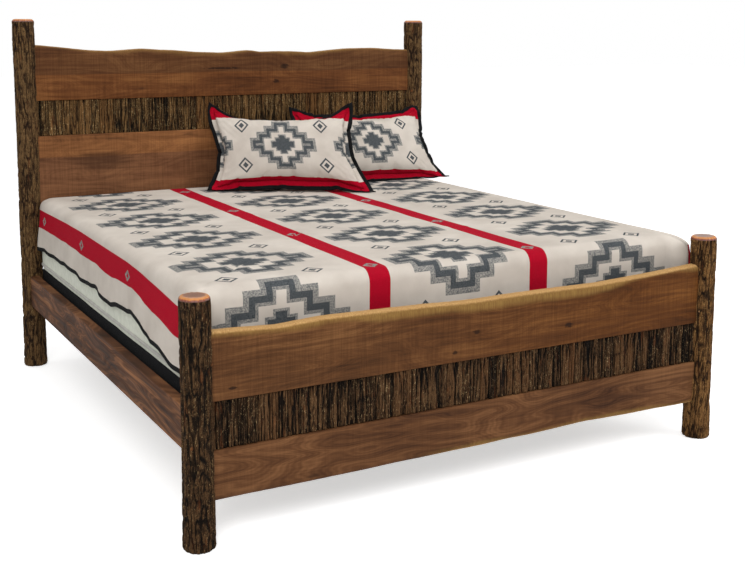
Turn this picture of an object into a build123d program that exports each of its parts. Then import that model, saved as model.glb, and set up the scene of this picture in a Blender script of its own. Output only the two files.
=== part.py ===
"""Rustic king bed: bark-on hickory log posts, live-edge walnut planks with bands of bark slabs let in between them,
hook-on side rails with cleats and slats, and its bedding: a low foundation, a mattress, a blanket and two flanged pillows.

Millimetres. +Z up, +X to the bed's right and +Y towards the headboard. The origin is on the floor, under the bed's centre.
"""

import os
from functools import cache
from math import atan, cos, degrees, pi, radians, sin, sqrt, tan

from build123d import *

# --- bedding sizes -------------------------------------------------------------------------------------------------
mattress_width = 1930.0
mattress_length = 2032.0
mattress_height = 320.0
mattress_corner_radius = 60.0
mattress_top_bevel = 25.0
mattress_bottom_bevel = 9.0
mattress_shift = 20.0  # how much nearer the mattress lies to the headboard than to the footboard
tape_edge_width = 14.0
tape_edge_thickness = 5.0
foundation_height = 120.0
foundation_corner_radius = 45.0
foundation_cover_thickness = 3.0
foundation_board = 19.0
foundation_side_board_width = 45.0
foundation_deck_board_width = 76.0
foundation_deck_board_count = 9
dust_cover_thickness = 1.5
blanket_thickness = 4.0
blanket_hem_height = 495.0
binding_width = 14.0
binding_thickness = 2.0
pillow_width = 770.0
pillow_height = 470.0
pillow_thickness = 138.0
pillow_flange_width = 32.0
pillow_flange_thickness = 6.0
pillow_corner_cut = 49.0
pillow_shoulder = 47.0  # the middle plane to where the stuffed part's slope eases
pillow_side_inset = 32.5  # how far the shoulder lies inside the seam
pillow_face_inset = 77.0  # and the face's rim
pillow_rest_gap = 0.3  # clear space between a pillow and what it leans on
back_pillow_x = 650.0
back_pillow_yaw = -3.0  # turned a little, so that it rests against the headboard and the post
back_pillow_lean = 40.0
front_pillow_x = 140.0
front_pillow_yaw = -31.0  # turned towards the bed's foot corner, against the back pillow
front_pillow_lean = 27.0

# --- frame sizes ---------------------------------------------------------------------------------------------------
side_gap = 32.0  # mattress to side rail
end_gap = 45.0  # mattress to footboard or headboard, when it lies in the middle
rail_thickness = 38.0
rail_height = 140.0
rail_bottom = 285.0
rail_edge_bevel = 2.5
cleat_thickness = 25.0
cleat_height = 30.0
cleat_end_setback = 70.0
slat_thickness = 19.0
slat_width = 90.0
slat_count = 5
slat_end_setback = 130.0  # rail end to the first slat's middle
slat_side_gap = 3.0

post_base_radius = 51.0
post_top_radius = 48.0
post_sway = 1.6  # how far a log wanders off its own axis
post_swell = 0.8  # how much a log's radius swells and shrinks between its ends
post_top_chamfer = 10.0
post_base_chamfer = 3.0
post_taper_length = 300.0  # from the floor up
post_swell_length = 520.0
post_section_step = 260.0
post_sides = 20  # a log's flats, as few as still look round
foot_post_height = 785.0
head_post_height = 1590.0
post_seat_offset = 43.0  # post axis to the flat seat that a rail butts against
post_seat_margin = 8.0
housing_offset = 22.0  # post axis to the floor of the groove that houses the plank ends
housing_overrun = 3.0  # how far the groove's cut runs out past the bark

plank_thickness = 38.0
plank_fit = 0.3  # clearance each side of a plank in its housing
wane_height = 20.0  # bark-side bevel of a live edge, down the face
wane_depth = 11.0  # and across the thickness
backer_thickness = 12.0
backer_tongue = 12.0  # how far the backer reaches into each plank's edge
slab_thickness = 13.0
slab_thickness_step = 1.5  # how much thinner each of two slabs in three is than the one before
slab_recess = 4.0  # bark face behind the planks' faces
slab_pitch = 34.0
slab_width_spread = 0.28
slab_joint = 0.6
slab_bevel = 0.24  # share of a slab's width that each bevelled edge takes

foot_lower_bottom = 143.0
foot_lower_top = 302.0
foot_upper_bottom = 455.0
foot_upper_top = 661.0
head_lower_bottom = 722.0
head_lower_top = 1062.0
head_upper_bottom = 1223.0
head_upper_top = 1440.0

# Live edges: (share of the half width, rise above the plank's nominal top), from the bed's left to its right.
foot_top_wave = [(-0.97, 7), (-0.75, -2), (-0.6, 6), (-0.4, 3), (-0.05, -6), (0.25, -4), (0.5, -6), (0.75, 4), (0.97, 16)]
head_top_wave = [(-0.97, 36), (-0.72, 9), (-0.62, 5), (-0.47, 14), (-0.4, 8), (-0.32, 6), (-0.2, -5), (-0.07, -9), (0.07, 3),
                 (0.13, -6), (0.33, -5), (0.4, -11), (0.62, 6), (0.77, 7), (0.97, -2)]
foot_under_wave = [(-0.97, 0), (-0.6, -1), (-0.2, 2), (0.2, 3), (0.45, 8), (0.65, 4), (0.97, 0)]

# --- fasteners -----------------------------------------------------------------------------------------------------
peg_radius = 5.0
peg_sides = 8  # whittled, not turned
peg_back_gap = 5.2  # how far a peg's end lies inside the bark at the back
peg_hole_overrun = 20.0  # how far its hole is bored on past that end, out through the bark
peg_length = 58.0
peg_inset = 10.0  # plank end to peg
peg_edge_distance = 45.0
fitting_plate_width = 22.0
fitting_plate_height = 120.0
fitting_plate_thickness = 3.0
hook_width = 5.0
hook_root_height = 16.0
hook_lip_drop = 9.0
hook_lip_thickness = 4.0
hook_spacing = 62.0
hook_clearance = 1.0
screw_radius = 2.2
screw_head_radius = 4.4
screw_head_height = 2.6
screw_head_land = 0.3  # the straight rim above the countersink
screw_length = 24.0
screw_sides = 6
cleat_screw_count = 8
leg_width = 45.0
leg_count = 3
glide_radius = 19.0
glide_height = 8.0
glide_sides = 16

# --- places that follow from the sizes -----------------------------------------------------------------------------
rail_inner_x = mattress_width / 2 + side_gap
post_x = rail_inner_x + rail_thickness / 2
inner_half_length = mattress_length / 2 + end_gap
post_y = inner_half_length + plank_thickness / 2
rail_top = rail_bottom + rail_height
rail_end_y = post_y - post_seat_offset
plank_half = post_x - housing_offset
slat_bottom = rail_bottom + cleat_height
slat_top = slat_bottom + slat_thickness
foundation_top = slat_top + foundation_height
mattress_top = foundation_top + mattress_height
bed_top = mattress_top + blanket_thickness
slab_back = -plank_thickness / 2 + slab_recess + slab_thickness  # the backer's front face, from the plank's middle
strike_pocket_depth = fitting_plate_thickness
hook_reach = fitting_plate_thickness + hook_lip_thickness


def write(name, shape):
    """Writes one node, whose solids are all parts of one named piece."""
    solids = [s for part in (shape if isinstance(shape, list) else [shape]) for s in part.solids()]
    export_step(Compound(label=name, children=solids), f"parts/{name}.step")


def block(x, y, z):
    """A box between two limits along each axis."""
    size = [high - low for low, high in (x, y, z)]
    centre = [(high + low) / 2 for low, high in (x, y, z)]
    return Pos(*centre) * Box(*size)


def prism(radius, sides, length, turn):
    """A many-sided peg that starts at the origin and runs along the turned Z axis."""
    return turn * extrude(RegularPolygon(radius, sides), amount=length)


def eased_slab(width, length, corner, bottom, top):
    """An upright prism centred on the mattress's middle, each corner eased by three flats round the corner's radius."""
    octagon = chamfer(Rectangle(width, length).vertices(), corner * (1 - tan(pi / 8)))
    outline = chamfer(octagon.vertices(), corner * (tan(pi / 8) - tan(pi / 16)))
    return extrude(Pos(0, mattress_shift, bottom) * outline, amount=top - bottom)


# --- log posts -----------------------------------------------------------------------------------------------------
def log_radius(height, z, phase):
    """A log's radius at a height above the floor."""
    taper = post_base_radius + (post_top_radius - post_base_radius) * min(1.0, z / post_taper_length)
    return taper + post_swell * sin(2 * pi * z / post_swell_length + phase) * sin(pi * z / height)


def log(height, phase):
    """A tapered log that wanders a little, standing on the origin, with bevelled ends."""
    low, high = post_base_chamfer, height - post_top_chamfer
    count = max(3, round((high - low) / post_section_step))
    levels = [low + (high - low) * k / count for k in range(count + 1)]
    rings = [(z, log_radius(height, z, phase)) for z in levels]
    rings.insert(0, (0.0, rings[0][1] - post_base_chamfer))
    rings.append((height, rings[-1][1] - post_top_chamfer))
    sections = []
    for z, radius in rings:
        sway = post_sway * sin(pi * z / height)
        centre = (sway * cos(5 * z / height + phase), sway * sin(4 * z / height + 2 * phase), z)
        sections.append(Plane(origin=centre) * RegularPolygon(radius, post_sides))
    return loft(sections, ruled=True)


def rail_seat(side, end):
    """What a rail's fitting takes out of a post: the flat seat, the strike plate's pocket and the room behind it."""
    towards_rail = -end
    seat_y = end * post_y + towards_rail * post_seat_offset
    reach = post_base_radius
    seat = block(
        (side * post_x - reach, side * post_x + reach),
        sorted((seat_y, seat_y + towards_rail * reach)),
        (rail_bottom - post_seat_margin, rail_top + post_seat_margin),
    )
    return [seat, plate_block(side, seat_y, end), *hook_rooms(side, seat_y, end), *plate_screws(side, end, 1)]


def plate_block(side, seat_y, into_post):
    """The space of a fitting plate whose face lies at seat_y, sunk towards into_post."""
    middle = (rail_bottom + rail_top) / 2
    return block(
        (side * post_x - fitting_plate_width / 2, side * post_x + fitting_plate_width / 2),
        sorted((seat_y, seat_y + into_post * fitting_plate_thickness)),
        (middle - fitting_plate_height / 2, middle + fitting_plate_height / 2),
    )


def hook_bottoms():
    """Heights of the two hooks' undersides, where they bear on the strike plate."""
    middle = (rail_bottom + rail_top) / 2
    return [middle - hook_spacing / 2 - hook_root_height / 2, middle + hook_spacing / 2 - hook_root_height / 2]


def hook_rooms(side, seat_y, end):
    """Room behind the strike plate for each hook to go in and drop."""
    rooms = []
    for bottom in hook_bottoms():
        rooms.append(
            block(
                (side * post_x - hook_width / 2 - hook_clearance, side * post_x + hook_width / 2 + hook_clearance),
                sorted((seat_y, seat_y + end * (hook_reach + hook_clearance))),
                (bottom - hook_lip_drop - hook_clearance, bottom + hook_root_height + hook_lip_drop + hook_clearance),
            )
        )
    return rooms


def housing(side, end, bottom, top):
    """The groove in a post's inner side that takes plank ends between two heights."""
    return block(
        sorted((side * plank_half, side * (post_x - post_base_radius - housing_overrun))),
        (end * post_y - plank_thickness / 2 - plank_fit, end * post_y + plank_thickness / 2 + plank_fit),
        (bottom, top),
    )


def pegs_at(end, heights, overrun=0.0):
    """Wooden pegs, driven from behind through the posts and the plank ends, or the longer holes bored for them."""
    back = end * post_y + sqrt(post_top_radius**2 - (housing_offset + peg_inset) ** 2) - peg_back_gap
    return [
        Pos(side * (plank_half - peg_inset), back + overrun, z)
        * prism(peg_radius, peg_sides, peg_length + overrun, Rot(90, 0, 0))
        for side in (-1, 1)
        for z in heights
    ]


def plank_peg_heights(bottom, top):
    return [bottom + peg_edge_distance, top - peg_edge_distance]


foot_peg_heights = [
    *plank_peg_heights(foot_lower_bottom, foot_lower_top),
    *plank_peg_heights(foot_upper_bottom, foot_upper_top),
]
head_peg_heights = [
    *plank_peg_heights(rail_bottom, rail_top),
    *plank_peg_heights(head_lower_bottom, head_lower_top),
    *plank_peg_heights(head_upper_bottom, head_upper_top),
]
foot_pegs = pegs_at(-1, foot_peg_heights)
head_pegs = pegs_at(1, head_peg_heights)


def wave_end(wave, side):
    """Rise of a live edge where it enters the housing."""
    return wave[0][1] if side < 0 else wave[-1][1]


def post(side, end, phase):
    """One post with its housings, rail seat and peg holes."""
    if end < 0:
        height, peg_holes = foot_post_height, pegs_at(-1, foot_peg_heights, peg_hole_overrun)
        spans = [(foot_lower_bottom, foot_upper_top + wave_end(foot_top_wave, side))]
    else:
        height, peg_holes = head_post_height, pegs_at(1, head_peg_heights, peg_hole_overrun)
        spans = [
            (rail_bottom, rail_top),
            (head_lower_bottom, head_upper_top + wave_end(head_top_wave, side)),
        ]
    shape = Pos(side * post_x, end * post_y, 0) * log(height, phase)
    cuts = [housing(side, end, low, high) for low, high in spans] + rail_seat(side, end)
    return shape - cuts - [hole for hole in peg_holes if hole.center().X * side > 0]


# --- headboard and footboard planks --------------------------------------------------------------------------------
def edge_points(wave, level):
    return [(share * plank_half, level + rise) for share, rise in wave]


def plank_face(bottom, top, under_wave, over_wave, trim=0.0):
    """A plank's outline in the XZ plane, its live edges trimmed back and level where they enter the housings."""
    over = edge_points(over_wave, top - trim) if over_wave else []
    under = edge_points(under_wave, bottom + trim) if under_wave else []
    rim, corners = [], []
    for points, level in ((over, top), (under, bottom)):
        first, last = (points[0][1], points[-1][1]) if points else (level, level)
        left, right = (-plank_half, first), (plank_half, last)
        corners.append((left, right))
        if points:
            rim += [Line(left, points[0]), Spline(points, tangents=[(1, 0), (1, 0)]), Line(points[-1], right)]
        else:
            rim.append(Line(left, right))
    ends = [Line(above, below) for above, below in zip(*corners)]
    return Plane.XZ * make_face([*rim, *ends])


def plank(end, bottom, top, under_wave=None, over_wave=None, tongue_below=False, tongue_above=False):
    """A plank across the bed, its live edges bevelled on the face that shows, grooved for a backer's tongues."""
    middle = end * post_y
    front, back = middle - plank_thickness / 2, middle + plank_thickness / 2
    if under_wave or over_wave:
        outline = Pos(0, front + wane_depth, 0) * plank_face(bottom, top, under_wave, over_wave)
        trimmed = Pos(0, front, 0) * plank_face(bottom, top, under_wave, over_wave, wane_height)
        board = extrude(outline, amount=wane_depth - plank_thickness) + loft([trimmed, outline], ruled=True)
    else:
        board = block((-plank_half, plank_half), (front, back), (bottom, top))
    groove_y = (middle + slab_back, middle + slab_back + backer_thickness)
    if tongue_below:
        board -= block((-plank_half, plank_half), groove_y, (bottom, bottom + backer_tongue))
    if tongue_above:
        board -= block((-plank_half, plank_half), groove_y, (top - backer_tongue, top))
    return board


def backer(end, bottom, top):
    """The board behind a band of bark slabs, tongued into the planks above and below."""
    middle = end * post_y
    return block(
        (-plank_half, plank_half),
        (middle + slab_back, middle + slab_back + backer_thickness),
        (bottom - backer_tongue, top + backer_tongue),
    )


def slab_limits():
    """Left and right limits of each bark slab, of uneven widths that together fill the band."""
    count = round(2 * plank_half / slab_pitch)
    widths = [1 + slab_width_spread * sin(2.4 * k) * cos(0.7 * k) for k in range(count)]
    scale = 2 * plank_half / sum(widths)
    limits, x = [], -plank_half
    for width in widths:
        limits.append((x, x + width * scale))
        x += width * scale
    return limits


def bark_slabs(end, bottom, top):
    """Upright slabs of bark-faced wood, each crowned by bevels, side by side on the backer."""
    back = end * post_y + slab_back
    slabs = []
    for k, (left, right) in enumerate(slab_limits()):
        crown = slab_thickness - slab_thickness_step * (k % 3)
        low, high = left + slab_joint / 2, right - slab_joint / 2
        bevel = (high - low) * slab_bevel
        outline = [(low, back), (low + bevel, back - crown), (high - bevel, back - crown), (high, back)]
        face = make_face(Polyline(*outline, close=True))
        slabs.append(extrude(Pos(0, 0, bottom) * face, amount=top - bottom, dir=(0, 0, 1)))
    return slabs


# --- side rails, their fittings, cleats and slats ------------------------------------------------------------------
def side_rail(side):
    """A plain board between the post seats, its long outer edges eased, with sockets for the hook plates."""
    centre = side * post_x
    board = block(
        (centre - rail_thickness / 2, centre + rail_thickness / 2),
        (-rail_end_y, rail_end_y),
        (rail_bottom, rail_top),
    )
    board = chamfer(board.edges().filter_by(Axis.Y), rail_edge_bevel)
    for end in (-1, 1):
        board -= plate_block(side, end * rail_end_y, -end)
        board -= plate_screws(side, end, -1)
    return board - rail_screws(side)


def hook_plate(side, end):
    """A rail's end plate with two hooks that drop behind the strike plate."""
    face = end * rail_end_y
    plate = plate_block(side, face, -end)
    for bottom in hook_bottoms():
        root = block(
            (side * post_x - hook_width / 2, side * post_x + hook_width / 2),
            sorted((face, face + end * hook_reach)),
            (bottom, bottom + hook_root_height),
        )
        lip = block(
            (side * post_x - hook_width / 2, side * post_x + hook_width / 2),
            sorted((face + end * fitting_plate_thickness, face + end * hook_reach)),
            (bottom - hook_lip_drop, bottom),
        )
        plate += root + lip
    return plate - plate_screws(side, end, -1)


def strike_plate(side, end):
    """The slotted plate let into a post, that the hooks pass through and bear on."""
    face = end * rail_end_y
    plate = plate_block(side, face, end)
    for bottom in hook_bottoms():
        plate -= block(
            (side * post_x - hook_width / 2 - hook_clearance / 2, side * post_x + hook_width / 2 + hook_clearance / 2),
            sorted((face, face + end * fitting_plate_thickness)),
            (bottom, bottom + hook_root_height + hook_lip_drop + hook_clearance),
        )
    return plate - plate_screws(side, end, 1)


@cache
def screw(length=screw_length):
    """A countersunk wood screw that points along -Z, its head's face on the XY plane."""
    head = extrude(RegularPolygon(screw_head_radius, screw_sides), amount=-screw_head_height)
    under = head.faces().sort_by(Axis.Z)[0]
    inset = (screw_head_radius - screw_radius) * cos(pi / screw_sides)
    head = chamfer(under.edges(), length=inset, length2=screw_head_height - screw_head_land, reference=under)
    return head + extrude(RegularPolygon(screw_radius, screw_sides), amount=-length)


def plate_screws(side, end, into_post):
    """The screws of one fitting plate: between, above and below the hooks. into_post is 1, or -1 into the rail."""
    middle = (rail_bottom + rail_top) / 2
    offset = fitting_plate_height / 2 - 1.8 * screw_head_radius
    turn = Rot(90, 0, 0) if end * into_post > 0 else Rot(-90, 0, 0)
    return [Pos(side * post_x, end * rail_end_y, middle + dz) * turn * screw() for dz in (-offset, 0, offset)]


def cleat(side):
    """The ledger strip along a rail's inner face, that the slats lie on."""
    inner = side * rail_inner_x
    return block(
        sorted((inner, inner - side * cleat_thickness)),
        (-rail_end_y + cleat_end_setback, rail_end_y - cleat_end_setback),
        (rail_bottom, rail_bottom + cleat_height),
    ) - (rail_screws(side) + slat_screws())


def rail_screws(side):
    """Screws through a cleat into its rail."""
    run = slat_middles()[-1] - slat_width
    turn = Rot(0, -90, 0) if side > 0 else Rot(0, 90, 0)
    start = side * (rail_inner_x - cleat_thickness)
    return [
        Pos(start, -run + 2 * run * k / (cleat_screw_count - 1), rail_bottom + cleat_height / 2)
        * turn
        * screw(cleat_thickness + rail_thickness * 0.5)
        for k in range(cleat_screw_count)
    ]


def slat_middles():
    run = rail_end_y - slat_end_setback
    return [-run + 2 * run * k / (slat_count - 1) for k in range(slat_count)]


def slat(y):
    """A cross slat, lying on both cleats."""
    half = rail_inner_x - slat_side_gap
    return block((-half, half), (y - slat_width / 2, y + slat_width / 2), (slat_bottom, slat_top)) - slat_screws()


@cache
def slat_screws():
    """One screw through each end of each slat into the cleat, and two into each centre leg."""
    x = rail_inner_x - cleat_thickness / 2
    places = [(side * x, y) for side in (-1, 1) for y in slat_middles()]
    places += [(dx, y) for y in leg_middles() for dx in (-leg_width / 4, leg_width / 4)]
    return [Pos(px, y, slat_top) * screw(slat_thickness + 0.6 * cleat_height) for px, y in places]


def leg_middles():
    """The centre legs stand under the slats nearest the bed's middle."""
    spare = (slat_count - leg_count) // 2
    return slat_middles()[spare : spare + leg_count]


def centre_leg(y):
    """A square leg under a slat's middle."""
    leg = block((-leg_width / 2, leg_width / 2), (y - leg_width / 2, y + leg_width / 2), (glide_height, slat_bottom))
    return leg - slat_screws()


def glide(y):
    """The slippery pad under a centre leg."""
    return Pos(0, y, 0) * prism(glide_radius, glide_sides, glide_height, Rot())


# --- foundation ----------------------------------------------------------------------------------------------------
def foundation_cover():
    """The cloth over the foundation's top and sides."""
    outer = eased_slab(mattress_width, mattress_length, foundation_corner_radius, slat_top, foundation_top)
    inner = eased_slab(
        mattress_width - 2 * foundation_cover_thickness,
        mattress_length - 2 * foundation_cover_thickness,
        foundation_corner_radius - foundation_cover_thickness,
        slat_top,
        foundation_top - foundation_cover_thickness,
    )
    return outer - inner


def foundation_limits():
    """Outer half width, half length and heights of the foundation's wooden frame."""
    low = slat_top + dust_cover_thickness
    high = foundation_top - foundation_cover_thickness - foundation_board
    inside = foundation_cover_thickness
    return mattress_width / 2 - inside, mattress_length / 2 - inside, (low, high)


def foundation_outline(shape):
    """Trims a board to the rounded corners inside the cover."""
    half_width, half_length, (low, high) = foundation_limits()
    corner = foundation_corner_radius - foundation_cover_thickness
    return shape & eased_slab(2 * half_width, 2 * half_length, corner, low, high)


def foundation_side_board(side):
    half_width, half_length, heights = foundation_limits()
    x = sorted((side * half_width, side * (half_width - foundation_side_board_width)))
    return foundation_outline(block(x, (mattress_shift - half_length, mattress_shift + half_length), heights))


def foundation_end_board(end):
    half_width, half_length, heights = foundation_limits()
    inner = half_width - foundation_side_board_width
    y = sorted((mattress_shift + end * half_length, mattress_shift + end * (half_length - foundation_board)))
    return block((-inner, inner), y, heights)


def foundation_spine():
    _, half_length, heights = foundation_limits()
    reach = half_length - foundation_board
    x = (-foundation_board / 2, foundation_board / 2)
    return block(x, (mattress_shift - reach, mattress_shift + reach), heights)


def foundation_deck():
    """Boards across the ring, under the cover's top."""
    high = foundation_top - foundation_cover_thickness
    half = mattress_width / 2 - foundation_cover_thickness
    run = mattress_length / 2 - foundation_corner_radius - foundation_deck_board_width / 2
    boards = []
    for k in range(foundation_deck_board_count):
        y = mattress_shift - run + 2 * run * k / (foundation_deck_board_count - 1)
        limits = (y - foundation_deck_board_width / 2, y + foundation_deck_board_width / 2)
        boards.append(block((-half, half), limits, (high - foundation_board, high)))
    return boards


def dust_cover():
    """The thin cloth under the foundation."""
    inside = foundation_cover_thickness
    return eased_slab(
        mattress_width - 2 * inside,
        mattress_length - 2 * inside,
        foundation_corner_radius - inside,
        slat_top,
        slat_top + dust_cover_thickness,
    )


# --- mattress and blanket ------------------------------------------------------------------------------------------
def soft_box(grow, bottom):
    """The mattress's outline grown all round, with a bevelled top edge and an open choice of bottom."""
    shape = eased_slab(
        mattress_width + 2 * grow,
        mattress_length + 2 * grow,
        mattress_corner_radius + grow,
        bottom,
        mattress_top + grow,
    )
    return chamfer(shape.edges().group_by(Axis.Z)[-1], mattress_top_bevel + grow * (2 - sqrt(2)))


def mattress():
    body = soft_box(0, foundation_top)
    return chamfer(body.edges().group_by(Axis.Z)[0], mattress_bottom_bevel)


def tape_edge():
    """The stitched tape round the mattress, above its lower edge."""
    low = foundation_top + mattress_bottom_bevel
    outer = eased_slab(
        mattress_width + 2 * tape_edge_thickness,
        mattress_length + 2 * tape_edge_thickness,
        mattress_corner_radius + tape_edge_thickness,
        low,
        low + tape_edge_width,
    )
    inner = eased_slab(mattress_width, mattress_length, mattress_corner_radius, low, low + tape_edge_width)
    return outer - inner


def blanket():
    """A blanket over the top, both sides and the foot of the mattress, open at the head."""
    shell = soft_box(blanket_thickness, blanket_hem_height) - soft_box(0, foundation_top)
    head = mattress_shift + mattress_length / 2
    reach = mattress_width
    return shell - block((-reach, reach), (head, head + reach), (0, mattress_top + reach))


def blanket_binding():
    """The folded tape sewn along the blanket's two side hems."""
    outer = mattress_width / 2 + blanket_thickness
    straight = mattress_length / 2 - mattress_corner_radius
    return [
        block(
            sorted((side * outer, side * (outer + binding_thickness))),
            (mattress_shift - straight, mattress_shift + straight),
            (blanket_hem_height, blanket_hem_height + binding_width),
        )
        for side in (-1, 1)
    ]


# --- pillows -------------------------------------------------------------------------------------------------------
def pillow_plane(centre, yaw, lean):
    """The middle plane of a leaning pillow: its X runs along the pillow, its Y up it, and its Z out of its face."""
    turn, tilt = radians(yaw), radians(lean)
    along = Vector(cos(turn), sin(turn), 0)
    behind = Vector(-sin(turn), cos(turn), 0)
    up = behind * sin(tilt) + Vector(0, 0, cos(tilt))
    return Plane(origin=centre, x_dir=along, z_dir=along.cross(up))


def pillow_outline(inset):
    """The stuffed part's outline, a rectangle with cut corners, a distance inside its seam."""
    width, height = pillow_width - 2 * pillow_flange_width, pillow_height - 2 * pillow_flange_width
    outline = Rectangle(width - 2 * inset, height - 2 * inset)
    return chamfer(outline.vertices(), pillow_corner_cut - inset * (2 - sqrt(2)))


def pillow_body(plane):
    """The stuffed part: two slopes each side of the seam, up to a flat face."""
    steps = (
        (0.0, pillow_shoulder, 0.0, pillow_side_inset),
        (pillow_shoulder, pillow_thickness / 2, pillow_side_inset, pillow_face_inset),
    )
    body = []
    for way in (-1, 1):
        for low, high, outer, inner in steps:
            slope = degrees(atan((inner - outer) / (high - low)))
            body.append(extrude(plane.offset(way * low) * pillow_outline(outer), amount=way * (high - low), taper=slope))
    return body[0].fuse(*body[1:])


def pillow_flange(plane):
    """The flat bound flange sewn round the pillow's seam."""
    outline = chamfer(Rectangle(pillow_width, pillow_height).vertices(), pillow_flange_width / 5)
    sheet = extrude(plane.offset(-pillow_flange_thickness / 2) * outline, amount=pillow_flange_thickness)
    return sheet - pillow_body(plane)


def resting_height(lean):
    """Height of a leaning pillow's middle when its flange's lower edge rests on the blanket."""
    tilt = radians(lean)
    lowest = pillow_height / 2 * cos(tilt) + pillow_flange_thickness / 2 * sin(tilt)
    return bed_top + pillow_rest_gap + lowest


def leaning_y(yaw, lean):
    """Y of a leaning pillow's middle when its flange's rearmost corner rests against the headboard."""
    turn, tilt = radians(yaw), radians(lean)
    up_reach = (pillow_height / 2 * sin(tilt) + pillow_flange_thickness / 2 * cos(tilt)) * cos(turn)
    return inner_half_length - pillow_rest_gap - pillow_width / 2 * abs(sin(turn)) - up_reach


def main():
    os.makedirs("parts", exist_ok=True)
    for side, word in ((-1, "left"), (1, "right")):
        write(f"foot_post_{word}", post(side, -1, phase=0.6 + side))
        write(f"head_post_{word}", post(side, 1, phase=2.0 + side))
        write(f"side_rail_{word}", side_rail(side))
        write(f"rail_cleat_{word}", cleat(side))
        for end, end_word in ((-1, "foot"), (1, "head")):
            write(f"hook_plate_{end_word}_{word}", hook_plate(side, end))
            write(f"strike_plate_{end_word}_{word}", strike_plate(side, end))

    foot_lower = plank(-1, foot_lower_bottom, foot_lower_top, under_wave=foot_under_wave, tongue_above=True)
    foot_upper = plank(-1, foot_upper_bottom, foot_upper_top, over_wave=foot_top_wave, tongue_below=True)
    head_lower = plank(1, head_lower_bottom, head_lower_top, tongue_above=True)
    head_upper = plank(1, head_upper_bottom, head_upper_top, over_wave=head_top_wave, tongue_below=True)
    write("footboard_lower_plank", foot_lower - foot_pegs)
    write("footboard_top_plank", foot_upper - foot_pegs)
    write("headboard_lower_plank", head_lower - head_pegs)
    write("headboard_top_plank", head_upper - head_pegs)
    write("headboard_stretcher", plank(1, rail_bottom, rail_top) - head_pegs)
    write("footboard_bark_backer", backer(-1, foot_lower_top, foot_upper_bottom))
    write("headboard_bark_backer", backer(1, head_lower_top, head_upper_bottom))
    write("footboard_bark_slabs", bark_slabs(-1, foot_lower_top, foot_upper_bottom))
    write("headboard_bark_slabs", bark_slabs(1, head_lower_top, head_upper_bottom))
    write("plank_pegs", foot_pegs + head_pegs)

    corners = [(side, end) for side in (-1, 1) for end in (-1, 1)]
    write("hook_plate_screws", [s for side, end in corners for s in plate_screws(side, end, -1)])
    write("strike_plate_screws", [s for side, end in corners for s in plate_screws(side, end, 1)])
    write("cleat_screws", rail_screws(-1) + rail_screws(1))
    write("slat_screws", slat_screws())
    for k, y in enumerate(slat_middles(), 1):
        write(f"cross_slat_{k}", slat(y))
    for k, y in enumerate(leg_middles(), 1):
        write(f"centre_leg_{k}", centre_leg(y))
    write("leg_glides", [glide(y) for y in leg_middles()])

    write("foundation_cover", foundation_cover())
    for side, word in ((-1, "left"), (1, "right")):
        write(f"foundation_board_{word}", foundation_side_board(side))
    for end, word in ((-1, "foot"), (1, "head")):
        write(f"foundation_board_{word}", foundation_end_board(end))
    write("foundation_spine", foundation_spine())
    write("foundation_deck_boards", foundation_deck())
    write("foundation_dust_cover", dust_cover())
    write("mattress", mattress())
    write("mattress_tape_edge", tape_edge())
    write("blanket", blanket())
    write("blanket_binding", blanket_binding())
    pillows = (
        ("back_pillow", back_pillow_x, back_pillow_yaw, back_pillow_lean),
        ("front_pillow", front_pillow_x, front_pillow_yaw, front_pillow_lean),
    )
    for name, x, yaw, lean in pillows:
        plane = pillow_plane(Vector(x, leaning_y(yaw, lean), resting_height(lean)), yaw, lean)
        write(name, pillow_body(plane))
        write(f"{name}_flange", pillow_flange(plane))


main()
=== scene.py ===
"""Looks for the rustic king bed: bark-on logs, live-edge walnut, bark slabs, a striped blanket and two flanged pillows.

Metres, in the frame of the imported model. The shapes are worked out here from the sizes below, which the solids share.
"""

import itertools
import math

import bpy
from mathutils import Matrix, Vector
from mathutils.bvhtree import BVHTree
import numpy as np


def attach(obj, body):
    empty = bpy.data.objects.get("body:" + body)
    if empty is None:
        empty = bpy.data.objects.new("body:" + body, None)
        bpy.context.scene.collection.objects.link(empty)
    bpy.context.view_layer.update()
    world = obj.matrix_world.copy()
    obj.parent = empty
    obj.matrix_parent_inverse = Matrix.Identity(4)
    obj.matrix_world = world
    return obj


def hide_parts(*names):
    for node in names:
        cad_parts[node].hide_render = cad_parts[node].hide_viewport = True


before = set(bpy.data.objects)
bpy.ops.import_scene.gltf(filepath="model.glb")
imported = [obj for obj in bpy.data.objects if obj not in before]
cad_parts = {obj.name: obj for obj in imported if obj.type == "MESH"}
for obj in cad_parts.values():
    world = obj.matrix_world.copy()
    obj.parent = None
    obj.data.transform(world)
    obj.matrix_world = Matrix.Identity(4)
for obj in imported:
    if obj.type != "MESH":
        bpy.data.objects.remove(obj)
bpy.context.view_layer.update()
scene = bpy.context.scene
MM = 0.001
QUARTER = math.pi / 2  # a quarter turn

# --- sizes shared with the solids ----------------------------------------------------------------------------------
POST_X, POST_Y = 1.016, 1.080
FOOT_POST_HEIGHT, HEAD_POST_HEIGHT = 0.785, 1.590
BASE_RADIUS, TOP_RADIUS = 0.051, 0.048
PLANK_HALF, PLANK_THICKNESS = 0.994, 0.038
FOOT_LOWER, FOOT_UPPER = (0.143, 0.302), (0.455, 0.661)
HEAD_LOWER, HEAD_UPPER = (0.722, 1.062), (1.223, 1.440)
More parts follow.
